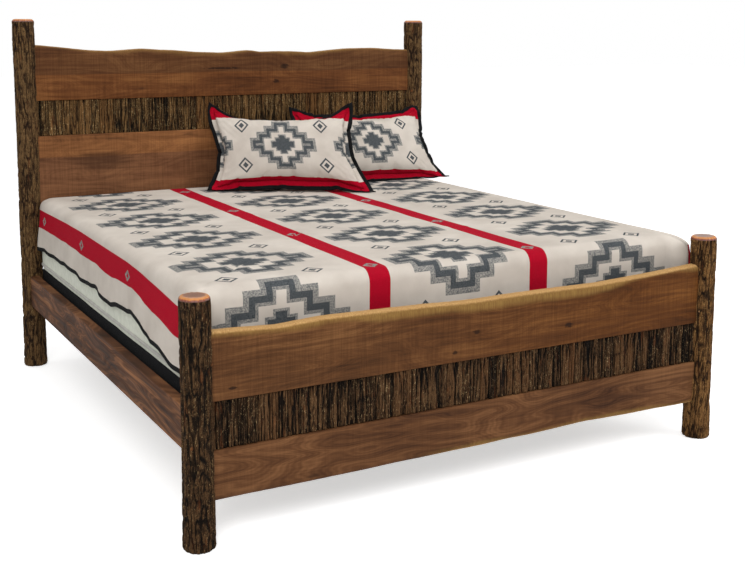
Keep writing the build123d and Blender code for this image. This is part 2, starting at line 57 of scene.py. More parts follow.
# live edges: places as shares of the half length, and rises in millimetres
FOOT_TOP_WAVE = ((-0.97, 7), (-0.75, -2), (-0.6, 6), (-0.4, 3), (-0.05, -6), (0.25, -4), (0.5, -6), (0.75, 4),
                 (0.97, 16))
HEAD_TOP_WAVE = ((-0.97, 36), (-0.72, 9), (-0.62, 5), (-0.47, 14), (-0.4, 8), (-0.32, 6), (-0.2, -5), (-0.07, -9),
                 (0.07, 3), (0.13, -6), (0.33, -5), (0.4, -11), (0.62, 6), (0.77, 7), (0.97, -2))
FOOT_UNDER_WAVE = ((-0.97, 0), (-0.6, -1), (-0.2, 2), (0.2, 3), (0.45, 8), (0.65, 4), (0.97, 0))
MATTRESS_HALF_WIDTH, MATTRESS_HALF_LENGTH, MATTRESS_SHIFT = 0.965, 1.016, 0.020
FOUNDATION_LOW, FOUNDATION_TOP, MATTRESS_TOP = 0.334, 0.454, 0.774
SLAB_PITCH = 0.034

# --- camera --------------------------------------------------------------------------------------------------------
CAMERA_PLACE = (-2.156, -4.227, 1.581)
CAMERA_YAW, CAMERA_PITCH, CAMERA_ROLL = -28.896, -7.959, 0.188
FOCAL_PIXELS, SHIFT_PIXELS, FRAME_WIDTH = 1150.5, -100.0, 745.0
SENSOR = 36.0  # in millimetres, as cameras count it


# --- repeatable noise ----------------------------------------------------------------------------------------------
def lattice(ix, iy, iz, seed):
    """Repeatable values from -1 to 1 at places given by whole numbers."""
    n = (ix * 374761393 + iy * 668265263 + iz * 1440662683 + seed * 1274126177) & 0xFFFFFFFF
    n = ((n ^ (n >> 13)) * 1274126177) & 0xFFFFFFFF
    return ((n ^ (n >> 16)) & 0xFFFF) / 32767.5 - 1.0


def noise(x, y=0.0, z=0.0, seed=0):
    """Smooth noise from -1 to 1 for arrays of places."""
    places = np.broadcast_arrays(*(np.asarray(c, float) for c in (x, y, z)))
    base = [np.floor(c).astype(np.int64) for c in places]
    ease = [p * p * (3 - 2 * p) for p in (c - b for c, b in zip(places, base))]
    total = 0.0
    for steps in itertools.product((0, 1), repeat=3):
        weight = 1.0
        for e, step in zip(ease, steps):
            weight = weight * (e if step else 1 - e)
        total = total + weight * lattice(*(b + step for b, step in zip(base, steps)), seed)
    return total


def wavy(x, seed):
    """Smooth waves of mixed lengths, from about -1 to 1."""
    return (np.sin(x + seed) + 0.6 * np.sin(1.73 * x + 2.1 * seed) + 0.4 * np.sin(3.1 * x + 0.7 * seed)) / 2


def smoothstep(low, high, value):
    t = np.clip((value - low) / (high - low), 0, 1)
    return t * t * (3 - 2 * t)


def unit(vectors):
    return vectors / (np.linalg.norm(vectors, axis=-1)[..., None] + 1e-12)


# --- meshes --------------------------------------------------------------------------------------------------------
def grid_faces(rows, columns, wrap=False, loop=False, start=0):
    """Quads of a grid. Its columns close on themselves if wrap is set, and its rows if loop is set."""
    down, across = rows if loop else rows - 1, columns if wrap else columns - 1
    i, j = np.meshgrid(np.arange(down), np.arange(across), indexing="ij")
    low, high, k = i * columns, (i + 1) % rows * columns, (j + 1) % columns
    return (np.stack([low + j, low + k, high + k, high + j], -1).reshape(-1, 4) + start).tolist()


def end_caps(rows, columns):
    """One face over each end of a grid whose columns close on themselves."""
    last = (rows - 1) * columns
    return [[last + j for j in range(columns)], [columns - 1 - j for j in range(columns)]]


def side_caps(rows, columns):
    """One face over each side of a grid whose rows close on themselves."""
    return [[i * columns for i in range(rows)], [i * columns + columns - 1 for i in range(rows)][::-1]]


def sewn_faces(inside, margin=0):
    """Faces of two cloths that are one where inside isn't set.

    The front's points come first, row by row, and then the back's inside points. The front reaches further than the
    back, by margin cells all round."""
    rows, columns = inside.shape
    under = np.arange(inside.size).reshape(rows, columns)
    under[inside] = inside.size + np.arange(inside.sum())
    under = under[margin : rows - margin, margin : columns - margin]
    back = np.stack([under[:-1, :-1], under[1:, :-1], under[1:, 1:], under[:-1, 1:]], -1)
    return grid_faces(rows, columns) + back.reshape(-1, 4).tolist()


def rounded_ring(half_x, half_y, side_x, side_y, bend, places):
    """The middle of the bend and the outward direction at places along a rectangle with rounded corners.

    half_x and half_y reach to the corners' middles. side_x, side_y and bend are the lengths of a side along X, a side
    along Y and a corner in the measure of places, which run up the right side first."""
    marks = np.cumsum([0, side_y, bend, side_x, bend, side_y, bend, side_x, bend])
    x = np.interp(places, marks, half_x * np.array([1, 1, 1, -1, -1, -1, -1, 1, 1]))
    y = np.interp(places, marks, half_y * np.array([-1, 1, 1, 1, 1, -1, -1, -1, -1]))
    angle = np.interp(places, marks, QUARTER * np.array([0, 0, 1, 1, 2, 2, 3, 3, 4]))
    return x, y, np.cos(angle), np.sin(angle)


def make_piece(name, vertices, faces, body, materials, nodes, values=None, face_material=None):
    """A smooth mesh piece on a body, which may stand for CAD nodes and carry values for its material."""
    mesh = bpy.data.meshes.new(name)
    mesh.from_pydata(np.asarray(vertices, float).reshape(-1, 3).tolist(), [], faces)
    for key, array in (values or {}).items():
        layer = mesh.attributes.new(key, "FLOAT", "POINT")
        layer.data.foreach_set("value", np.asarray(array, np.float32).ravel())
    for material in materials:
        mesh.materials.append(material)
    if face_material is not None:
        mesh.polygons.foreach_set("material_index", np.asarray(face_material, np.int32))
    mesh.polygons.foreach_set("use_smooth", np.ones(len(mesh.polygons), bool))
    mesh.validate()
    mesh.update()
    piece = bpy.data.objects.new(name, mesh)
    scene.collection.objects.link(piece)
    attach(piece, body)
    if nodes:
        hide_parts(*nodes)
    return piece


# --- node materials ------------------------------------------------------------------------------------------------
def through(operation):
    """A method that puts a term, with another value, through a math node."""

    def method(self, other=0.0):
        return self.nodes.math(operation, self, other)

    return method


class Term:
    """A node's output. Calculating with it adds math nodes."""

    __add__ = __radd__ = through("ADD")
    __sub__ = through("SUBTRACT")
    __mul__ = __rmul__ = through("MULTIPLY")
    __truediv__ = through("DIVIDE")
    __gt__ = through("GREATER_THAN")
    __lt__ = through("LESS_THAN")
    __abs__ = through("ABSOLUTE")

    def __init__(self, nodes, socket):
        self.nodes, self.socket = nodes, socket


class Nodes:
    """A node tree, built with short calls that each return a term."""

    def __init__(self, tree):
        self.tree = tree

    def feed(self, socket, value):
        if isinstance(value, Term):
            self.tree.links.new(value.socket, socket)
        else:
            socket.default_value = value

    def node(self, kind, inputs=(), output=0, **settings):
        """A new node with some of its inputs fed, as the term of one of its outputs."""
        made = self.tree.nodes.new(kind)
        for key, value in settings.items():
            setattr(made, key, value)
        for key, value in dict(inputs).items():
            self.feed(made.inputs[key], value)
        return Term(self, made.outputs[output])

    def place(self, scale=(1, 1, 1), shift=(0, 0, 0)):
        """Object coordinates, scaled and shifted."""
        coords = self.node("ShaderNodeTexCoord", output="Object")
        return self.node("ShaderNodeMapping", {"Vector": coords, "Scale": scale, "Location": shift})

    def axes(self):
        """X, Y and Z of the object coordinates."""
        split = self.node("ShaderNodeSeparateXYZ", {0: self.place()})
        return [Term(self, socket) for socket in split.socket.node.outputs]

    def value(self, key):
        return self.node("ShaderNodeAttribute", output="Fac", attribute_name=key)

    def noise(self, scale, detail, shift=(0, 0, 0), rough=0.55, warp=0.0):
        inputs = {"Scale": 1.0, "Detail": detail, "Roughness": rough, "Distortion": warp}
        return self.node("ShaderNodeTexNoise", {"Vector": self.place(scale, shift), **inputs}, "Fac")

    def math(self, operation, a, b=0.0, clamp=False):
        return self.node("ShaderNodeMath", {0: a, 1: b}, operation=operation, use_clamp=clamp)

    def span(self, value, low, high, to_low=0.0, to_high=1.0, kind="SMOOTHSTEP"):
        """Maps low..high to to_low..to_high, clamped."""
        inputs = {"Value": value, "From Min": low, "From Max": high, "To Min": to_low, "To Max": to_high}
        return self.node("ShaderNodeMapRange", inputs, interpolation_type=kind)

    def between(self, value, low, high, soft):
        """1 between two values and 0 outside them, with soft to either side of each as the change."""
        return self.span(value, low - soft, low + soft) * self.span(value, high - soft, high + soft, 1.0, 0.0)

    def ramp(self, value, *stops):
        """A colour for each value, from stops that give a place and a colour."""
        colour = self.node("ShaderNodeValToRGB", {"Fac": value})
        elements = colour.socket.node.color_ramp.elements
        while len(elements) < len(stops):
            elements.new(0.5)
        for element, (position, shade) in zip(elements, stops):
            element.position = position
            element.color = shade
        return colour

    def blend(self, factor, a, b, kind="MIX"):
        return self.node("ShaderNodeMix", {0: factor, 6: a, 7: b}, 2, data_type="RGBA", blend_type=kind)


INPUT_NAMES = {"roughness": "Roughness", "metallic": "Metallic", "specular": "Specular IOR Level",
               "coat": "Coat Weight", "coat_roughness": "Coat Roughness"}


class Shader(Nodes):
    """A material with one surface, whose uniform values are set on its own sockets."""

    def __init__(self, name, **uniform):
        self.material = bpy.data.materials.new(name)
        self.material.use_nodes = True
        super().__init__(self.material.node_tree)
        self.surface = self.tree.nodes["Principled BSDF"]
        for key, value in uniform.items():
            self.surface.inputs[INPUT_NAMES[key]].default_value = value

    def finish(self, colour, bump, roughness=None):
        """Connects the surface. bump gives heights, each with its distance in metres."""
        self.feed(self.surface.inputs["Base Color"], colour)
        if roughness is not None:
            self.feed(self.surface.inputs["Roughness"], roughness)
        inputs = {"Strength": 1.0}
        for height, distance in bump:
            inputs.update(Height=height, Distance=distance)
            inputs["Normal"] = self.node("ShaderNodeBump", inputs)
        self.feed(self.surface.inputs["Normal"], inputs["Normal"])
        return self.material


def srgb(r, g, b):
    """A linear colour from 0 to 255 display values."""
    return tuple(((c / 255 + 0.055) / 1.055) ** 2.4 if c > 10 else c / 255 / 12.92 for c in (r, g, b)) + (1.0,)


def lighter(colour, gains):
    return tuple(min(1.0, c * g) for c, g in zip(colour[:3], gains)) + (1.0,)


def bark_material(name, dark, mid, light, fleck, fleck_amount, seed, grooves=46):
    """Furrowed bark: dark in the furrows, partly from its own darker inner bark and partly as painted shade, fibrous on
    the ridges, with pale flecks of lichen and worn fibre.
    """
    s = Shader(name, roughness=0.85, specular=0.1)
    height, tone = s.value("bark"), s.value("tone")
    fibre = s.noise((380, 380, 42), 5, (seed, 0, 0), 0.7)
    patch = s.noise((17, 17, 7), 3, (0, seed, 0))
    groove = abs(s.noise((230, 230, grooves), 3, (seed, 4, 0), 0.6) - 0.5)
    # painted shade: the colour level follows the relief's height, so the ridges are lighter and the furrows and bumped
    # grooves are darker, on top of the bark's own darker furrows
    level = height * 0.60 + fibre * 0.55 - s.span(groove, 0.0, 0.055, 0.30, 0.0) + tone * 0.24
    colour = s.ramp(level, (0.18, dark), (0.5, mid), (0.84, light))
    colour = s.blend(s.span(patch, 0.5, 0.72, 0.0, 0.5), colour, s.blend(0.45, colour, light))
    spots = s.noise((260, 260, 110), 4, (seed, seed, 0), 0.75)
    mask = s.math("MULTIPLY", s.span(spots, 0.58, 0.66), height * fleck_amount, clamp=True)
    colour = s.blend(mask * s.span(patch, 0.36, 0.6, 0.3, 1.0), colour, fleck)
    colour = s.blend(tone * 0.5, colour, s.blend(1.0, colour, srgb(196, 150, 112), "MULTIPLY"))
    rust = s.noise((60, 60, 12), 4, (seed, 0, seed))
    colour = s.blend(s.span(rust, 0.60, 0.72, 0.0, 0.55), colour, s.blend(0.5, colour, srgb(122, 68, 36)))
    colour = s.blend(s.value("knot") * 0.6, colour, srgb(134, 80, 44))
    return s.finish(colour, [(fibre, 0.0020), (spots, 0.0010), (groove, 0.006)])


def cut_end_material():
    """The varnished cut end of a log: rusty beside the bark, pale at the rim, brown with fine rings inside."""
    s = Shader("log_cut_end", roughness=0.4, coat=0.2, coat_roughness=0.18)
    radial = s.value("inward") + (s.noise((90, 90, 90), 3) - 0.5) * 0.0035
    colour = s.ramp(radial * 20.0, (0.0, srgb(66, 26, 6)), (0.05, srgb(134, 58, 12)), (0.09, srgb(196, 124, 50)),
                    (0.22, srgb(172, 112, 54)), (0.34, srgb(118, 70, 34)), (0.7, srgb(104, 59, 28)),
                    (1.0, srgb(92, 50, 24)))
    rings = s.math("SINE", radial * 2600.0)
    colour = s.blend(s.span(rings, 0.3, 1.0, 0.0, 0.28), colour, srgb(98, 58, 34))
    return s.finish(colour, [(s.noise((600, 600, 600), 2), 0.0002)])


def walnut_material(name, low, mid, high, seed, figure=1.0, contour=0.05, streaks=0.6, patches=1.0, stretch=1.0,
                    saw=1.0, two_tone=None, sap=0.0, sap_tone=1.0, sap_run=(-2.0, 2.0), spread=None, right_gain=None,
                    shades=(), marks=()):
    """Oiled walnut along X or Y: long grain, cathedral figure, pores, saw marks, knots and a pale live edge.

    two_tone: the share of the height above which the board differs, and that part's gain in red, green and blue.
    sap_run: where the live edge is pale, from and to along X.
    spread: where the paleness reaches further, from and to along X, and the added depth.
    right_gain: what the colour is multiplied by towards the right.
    shades: soft dark places, by middle along X and up, half sizes and strength.
    marks: knots and cracks, by middle and half sizes."""
    s = Shader(name, roughness=0.62, specular=0.08)
    x, _, z = s.axes()
    broad = s.noise((1.3, 1.3, 6.5), 2, (seed, 0, 0), warp=0.25)
    phase = z * 40.0 + broad * (26.0 * figure)
    lines, fine_lines = s.math("SINE", phase * 3.1), s.math("SINE", phase * 13.0 + broad * 9.0)
    streak = s.noise((2.4, 2.4, 105), 6, (0, seed, 0), 0.62)
    fibre = s.noise((13, 13, 430), 4, (seed, 0, 0), 0.6)
    cloud = s.noise((2.2 / stretch, 2.2 / stretch, 8), 3, (0, 0, seed))
    tone = lines * contour + fine_lines * (0.6 * contour) + (streak - 0.5) * streaks
    tone = s.math("ADD", tone + (fibre - 0.5) * 0.35 + (cloud - 0.5) * patches, 0.5, clamp=True)
    stops = ((0.1, low), (0.5, mid), (0.9, high))
    colour = s.ramp(tone, *stops)
    if two_tone:
        level, gains = two_tone
        upper = s.ramp(tone, *((place, lighter(shade, gains)) for place, shade in stops))
        border = s.value("upper") + (cloud - 0.5) * 0.10
        colour = s.blend(s.span(border, level - 0.012, level + 0.012), colour, upper)
    pores = s.span(fibre, 0.60, 0.74, 0.0, 0.35)
    colour = s.blend(pores, colour, s.blend(1.0, colour, srgb(140, 112, 96), "MULTIPLY"))
    chatter = s.noise((150, 150, 6), 3, (seed, 0, 0), 0.6)
    saw_marks = s.ramp(chatter, (0.36, srgb(150, 138, 126)), (0.62, srgb(255, 255, 255)))
    colour = s.blend(0.30 * saw, colour, saw_marks, "MULTIPLY")
    if right_gain:
        gain = s.ramp(s.span(x, -0.75, 0.75), (0.0, (1, 1, 1, 1)), (1.0, (*right_gain, 1)))
        colour = s.blend(1.0, colour, gain, "MULTIPLY")
    knots = s.noise((5.5, 5.5, 17), 1, (seed, seed, seed))
    colour = s.blend(s.span(knots, 0.72, 0.82, 0.0, 0.8), colour, srgb(40, 26, 18))

    def ellipse(at_x, at_z, half_x, half_z, rough, raggedness):
        """0 in the middle of an ellipse and 1 at its ragged outline."""
        off_x, off_z = (x - at_x) / half_x, (z - at_z) / half_z
        return off_x * off_x + off_z * off_z + (rough - 0.5) * raggedness

    for *spot, strength in shades:
        colour = s.blend(s.span(ellipse(*spot, streak, 1.6), 0.0, 1.2, strength, 0.0), colour, srgb(46, 27, 18))
    ragged = s.noise((60, 60, 130), 3, (seed, 0, 0)) if marks else None
    for spot in marks:
        colour = s.blend(s.span(ellipse(*spot, ragged, 2.6), 0.1, 1.3, 0.8, 0.0), colour, srgb(26, 15, 9))
    if sap:
        edge, ticks = s.value("edge"), s.noise((300, 300, 14), 3, (seed, 0, 0))
        reach = edge - (s.noise((2.6, 2.6, 2.6), 3, (seed, 0, 0)) - 0.5) * (7.0 * sap)
        if spread:
            start, stop, depth = spread
            reach = reach - s.between(x, start, stop, 0.2) * depth
        run = s.between(x, *sap_run, 0.15)
        for amount, dark, light in (
            (s.span(reach, 0.0, 2.4 * sap, 0.85 * sap_tone, 0.0), srgb(116, 84, 44), srgb(146, 114, 62)),
            (s.span(edge, 0.1 * sap, 0.8 * sap, sap_tone, 0.0), srgb(150, 110, 64), srgb(196, 158, 104)),
        ):
            colour = s.blend(run * amount, colour, s.ramp(ticks, (0.3, dark), (0.7, light)))
    return s.finish(colour, [(fibre, 0.0003), (chatter, 0.0004 * saw)], s.span(streak, 0.3, 0.7, 0.52, 0.68))


def plain_wood(name, dark, light, seed=0.0):
    s = Shader(name, roughness=0.6)
    streak, cross = s.noise((7, 7, 90), 5, (seed, 0, 0)), s.noise((70, 3, 70), 3, (seed, 0, 0))
    return s.finish(s.ramp(s.blend(0.5, streak, cross), (0.3, dark), (0.7, light)), [(streak, 0.0003)])


def metal(name, level, roughness):
    s = Shader(name, roughness=roughness, metallic=1.0)
    fine = s.noise((300, 300, 900), 3)
    colour = s.ramp(fine, (0.3, srgb(*level)), (0.75, srgb(*(min(255, c + 26) for c in level))))
    return s.finish(colour, [(fine, 0.0001)], s.span(fine, 0.3, 0.7, roughness - 0.06, roughness + 0.1))


def weave(s, u, v, pitch):
    """Height of a plain weave from two lengths along the cloth."""
    turns = 2 * math.pi / pitch
    return s.math("SINE", u * turns) * s.math("SINE", v * turns)


def plain_cloth(name, dark, light, roughness=0.85, pitch=0.0022, depth=0.0004):
    s = Shader(name, roughness=roughness, specular=0.15)
    x, y, z = s.axes()
    threads = weave(s, x + y, z + (x - y), pitch)
    cloud = s.noise((40, 40, 40), 5)
    return s.finish(s.ramp(threads * 0.1 + cloud, (0.3, dark), (0.7, light)), [(threads, depth), (cloud, 0.0006)])


# --- woven patterns ------------------------------------------------------------------------------------------------
# Crimson stripes run along the bed, with rows of nested stepped diamonds between them, in lengths of the flat cloth.
BLANKET_SKEW = 0.010  # how far the pattern slants across for each metre along
STRIPES = ((-1.132, -1.034), (-0.384, -0.305), (0.262, 0.340), (0.985, 1.083))
STRIPE_MARK_PITCH = 0.62
DIAMOND_ROWS = ((-0.700, 0.0), (-0.020, 0.5), (0.655, 0.0))  # place across, and shares of the pitch moved along
DIAMOND_PITCH = 0.455
SMALL_OFFSET = 0.150
RIM_STEPS = ((0.060, 0.172), (0.120, 0.128), (0.180, 0.084), (0.235, 0.040))
CORE_STEPS = ((0.020, 0.064), (0.048, 0.042), (0.080, 0.018))
PILLOW_MARKS = ((-0.192, 0.094), (0.192, 0.094), (-0.192, -0.094), (0.192, -0.094))
PILLOW_TOP_BAND, PILLOW_BAND = 0.147, 0.157  # how far above and below its middle a sham turns crimson


class Wool(Shader):
    """Woven wool whose pattern follows the flat lengths u and v, with its yarns' colours."""

    def __init__(self, name, slub_scale):
        super().__init__(name, roughness=0.9, specular=0.1)
        self.u, self.v = self.value("cloth_u"), self.value("cloth_v")
        self.slub = self.noise((slub_scale, slub_scale, slub_scale), 5)
        heather, speck = self.noise((420, 420, 420), 2), self.noise((250, 250, 250), 2, rough=0.7)
        self.ground = self.ramp(self.slub, (0.3, srgb(196, 186, 175)), (0.7, srgb(216, 207, 196)))
        self.fleece = self.blend(self.span(speck, 0.42, 0.58), srgb(162, 158, 151), srgb(104, 105, 105))
        self.dark = self.blend(self.span(heather, 0.4, 0.6), srgb(60, 64, 68), srgb(90, 94, 96))
        self.red = self.blend(self.span(heather, 0.35, 0.65), srgb(156, 0, 28), srgb(180, 6, 38))

    def band(self, colour, value, low, high, ink):
        """A colour with ink where a value is between two others."""
        return self.blend((value > low) * (value < high), colour, ink)

    def outside(self, u, v, steps):
        """How far a place lies outside a stepped diamond, made of crossed rectangles given by their half sizes."""
        best = None
        for half_u, half_v in steps:
            far = self.math("MAXIMUM", abs(u) - half_u, abs(v) - half_v)
            best = far if best is None else self.math("MINIMUM", best, far)
        return best

    def diamond(self, colour, u, v, size):
        """Nested stepped diamonds at the origin of u and v."""
        rim, core = (self.outside(u, v, [(size * a, size * b) for a, b in steps]) for steps in (RIM_STEPS, CORE_STEPS))
        for value, low, high, ink in (
            (rim, -0.010, 0.010, self.fleece), (rim, -0.031, -0.010, self.dark), (rim, -0.042, -0.031, self.fleece),
            (core, 0.0, 0.009, self.fleece), (core, -0.1, 0.0, self.dark),
        ):
            colour = self.band(colour, value, low * size, high * size, ink)
        return colour

    def lozenge(self, colour, u, v, heart, inner, outer):
        """A small diamond with a ring round it at the origin of u and v."""
        far = abs(u) + abs(v)
        return self.band(self.band(colour, far, 0.0, heart, self.dark), far, inner, outer, self.dark)

    def repeat(self, share, pitch):
        """The length along the cloth from the middle of the repeat that a number of repeats lies in."""
        return (self.math("FRACT", share) - 0.5) * pitch

    def woven(self, colour, slub_depth, u, v):
        return self.finish(colour, [(weave(self, u, v, 0.0034), 0.0005), (self.slub, slub_depth)])


def blanket_material():
    """Cream wool with crimson lengthwise stripes and nested stepped diamonds, laid half a step apart in turn."""
    s = Wool("blanket_wool", 6)
    u, v = s.u - (s.v + 1.0) * BLANKET_SKEW, s.v
    colour = s.ground
    for middle, moved in DIAMOND_ROWS:
        across = u - middle
        cell = (v + moved * DIAMOND_PITCH) / DIAMOND_PITCH
        colour = s.diamond(colour, across, s.repeat(cell, DIAMOND_PITCH), 1.0)
        for offset in (-SMALL_OFFSET, SMALL_OFFSET):
            colour = s.lozenge(colour, across - offset, s.repeat(cell + 0.5, DIAMOND_PITCH), 0.016, 0.030, 0.041)
    # the left stripe bows up along the middle of the bed, where the side hangs out over the mattress
    bow = s.span(v, -0.95, -0.25) * s.span(v, 0.3, 1.2, 1.0, 0.5)
    for low, high in STRIPES:
        low_lift, high_lift = (bow * 0.022, bow * 0.038) if low < -1 else (0.0, 0.0)
        colour = s.blend((u - low_lift > low) * (u - high_lift < high), colour, s.red)
        far = abs(u - (low + high) / 2 - low_lift) + abs(s.repeat(v / STRIPE_MARK_PITCH, STRIPE_MARK_PITCH))
        colour = s.band(colour, far, 0.012, 0.030, s.fleece)
    return s.woven(colour, 0.003, u, v)


def pillow_material():
    """The blanket's wool and motifs at a smaller scale, crimson along the sham's upper and lower edge."""
    s = Wool("pillow_wool", 9)
    colour = s.diamond(s.ground, s.u, s.v, 0.64)
    for side in (-0.366, 0.366):
        colour = s.diamond(colour, s.u - side, s.v, 0.5)
    for across, up in PILLOW_MARKS:
        colour = s.lozenge(colour, s.u - across, s.v - up, 0.014, 0.026, 0.036)
    crimson = abs(s.v) + (s.v > 0.0) * (PILLOW_BAND - PILLOW_TOP_BAND) > PILLOW_BAND
    return s.woven(s.blend(crimson, colour, s.red), 0.002, s.u, s.v)


# --- the materials -------------------------------------------------------------------------------------------------
BARK_DARK = bark_material("bark_dark", srgb(4, 3, 1), srgb(28, 18, 10), srgb(84, 60, 37), srgb(158, 132, 92), 1.3, 3.0)
BARK_MID = bark_material("bark_mid", srgb(10, 6, 4), srgb(54, 37, 23), srgb(108, 82, 52), srgb(150, 124, 80), 1.1, 11.0)
BARK_TAN = bark_material("bark_tan", srgb(10, 6, 3), srgb(58, 38, 21), srgb(126, 90, 52), srgb(184, 148, 90), 1.4, 7.0)
BARK_SLAB = bark_material("bark_slab", srgb(3, 2, 1), srgb(23, 14, 8), srgb(98, 71, 46), srgb(176, 150, 110), 1.2, 17.0,
                          grooves=16)
BARK_SLAB_HEAD = bark_material("bark_slab_head", srgb(6, 4, 2), srgb(43, 29, 16), srgb(122, 92, 56),
                               srgb(204, 180, 132), 1.5, 27.0, grooves=20)
CUT_END = cut_end_material()
WALNUT_FOOT_TOP = walnut_material(
    "walnut_foot_top", srgb(47, 28, 15), srgb(95, 61, 35), srgb(136, 95, 58), 2.0, sap=0.011,
    spread=(-0.42, 0.52, 0.022), right_gain=(0.84, 0.70, 0.46),
    marks=((-0.026, 0.549, 0.016, 0.009), (0.365, 0.523, 0.020, 0.011), (-0.113, 0.488, 0.010, 0.008),
           (-0.907, 0.490, 0.014, 0.006)))
WALNUT_FOOT_LOW = walnut_material(
    "walnut_foot_low", srgb(52, 30, 18), srgb(94, 61, 37), srgb(130, 90, 58), 6.0, contour=0.09, saw=0.5, sap=0.008,
    sap_run=(-0.15, 2.0))
WALNUT_HEAD_TOP = walnut_material(
    "walnut_head_top", srgb(56, 30, 13), srgb(100, 60, 31), srgb(136, 90, 50), 9.0, two_tone=(0.54, (0.72, 0.78, 0.92)),
    sap=0.008, sap_tone=0.4,
    marks=((-0.075, 1.356, 0.105, 0.0060), (0.259, 1.362, 0.026, 0.014), (0.209, 1.288, 0.018, 0.011)))
WALNUT_HEAD_LOW = walnut_material(
    "walnut_head_low", srgb(64, 38, 23), srgb(109, 72, 48), srgb(142, 98, 66), 13.0, two_tone=(0.70, (1.5, 1.45, 1.15)),
    shades=((-0.68, 0.938, 0.17, 0.052, 0.62),))
WALNUT_RAIL = walnut_material(
    "walnut_rail", srgb(30, 17, 10), srgb(82, 52, 33), srgb(146, 100, 66), 21.0, figure=0.7, contour=0.11, streaks=0.9,
    patches=2.2, stretch=2.6, saw=0.3)
SOFTWOOD = plain_wood("sawn_softwood", srgb(176, 140, 96), srgb(208, 176, 132))
PEG_WOOD = plain_wood("peg_wood", srgb(150, 112, 74), srgb(186, 148, 104), 4.0)
ZINC = metal("zinc_steel", (168, 170, 174), 0.38)
SCREW_STEEL = metal("screw_steel", (150, 150, 152), 0.34)
BLACK_CLOTH = plain_cloth("black_cover", srgb(14, 14, 16), srgb(24, 24, 26), roughness=0.95)
TICKING = plain_cloth("mattress_ticking", srgb(214, 217, 202), srgb(230, 232, 218), pitch=0.003)
TAPE = plain_cloth("mattress_tape", srgb(196, 194, 186), srgb(214, 212, 204), pitch=0.0016)
BINDING = plain_cloth("black_binding", srgb(10, 10, 11), srgb(22, 22, 24), roughness=0.95, pitch=0.0014)
GLIDE = plain_cloth("glide_plastic", srgb(26, 26, 26), srgb(34, 34, 34), roughness=0.5, depth=0.0)
BLANKET = blanket_material()
SHAM = pillow_material()

# materials of the CAD nodes that show as they are: the first row that has a part of a node's name counts
CARRIED = (
    (WALNUT_RAIL, ("side_rail",)), (WALNUT_HEAD_LOW, ("headboard_stretcher",)), (PEG_WOOD, ("plank_pegs",)),
    (SCREW_STEEL, ("_screws",)), (ZINC, ("hook_plate", "strike_plate")), (GLIDE, ("leg_glides",)),
    (SOFTWOOD, ("bark_backer", "rail_cleat", "cross_slat", "centre_leg", "foundation_board", "foundation_spine",
                "foundation_deck_boards")),
)
for name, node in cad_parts.items():
    for material, parts in CARRIED:
        if any(part in name for part in parts):
            node.data.materials.clear()
            node.data.materials.append(material)
            break


# --- log posts -----------------------------------------------------------------------------------------------------
LOG_COLUMNS, LOG_STEP = 150, 0.005
TOP_EASE = 0.0125  # how far under a log's top its bark ends
TOP_PROFILE = ((0.0015, 0.0085), (0.0030, 0.0062), (0.0055, 0.0035), (0.0085, 0.0012), (0.0115, 0.0002), (0.016, 0.0),
               (0.028, 0.0002), (0.040, 0.0))  # rows over the eased rim, by inset and depth under the top
RIM_BARK = 0.6  # the height of bark that the cut end's rows are given
BARK_REACH = 0.05  # radius at which the bark's relief is worked out


def bark_relief(x, y, z, seed, run=1.0):
    """Height of bark from 0 in the furrows to 1 on the ridges, which are long where run is large."""
    wander = 0.6 * noise(x * 22, y * 22, z * 10 / run, seed + 5)
    coarse = noise(x * 108 + wander, y * 108 + wander, z * 15 / run, seed)
    furrow = np.exp(-((coarse / 0.16) ** 2))
    cracks = np.exp(-((noise(x * 250, y * 250, z * 44 / run, seed + 1) / 0.22) ** 2))
    height = 0.98 - 0.88 * furrow - 0.45 * cracks * (1 - furrow)
    height = height + 0.24 * noise(x * 95, y * 95, z * 70 / run, seed + 2)
    return np.clip(height + 0.16 * noise(x * 24, y * 24, z * 11, seed + 3), 0, 1)


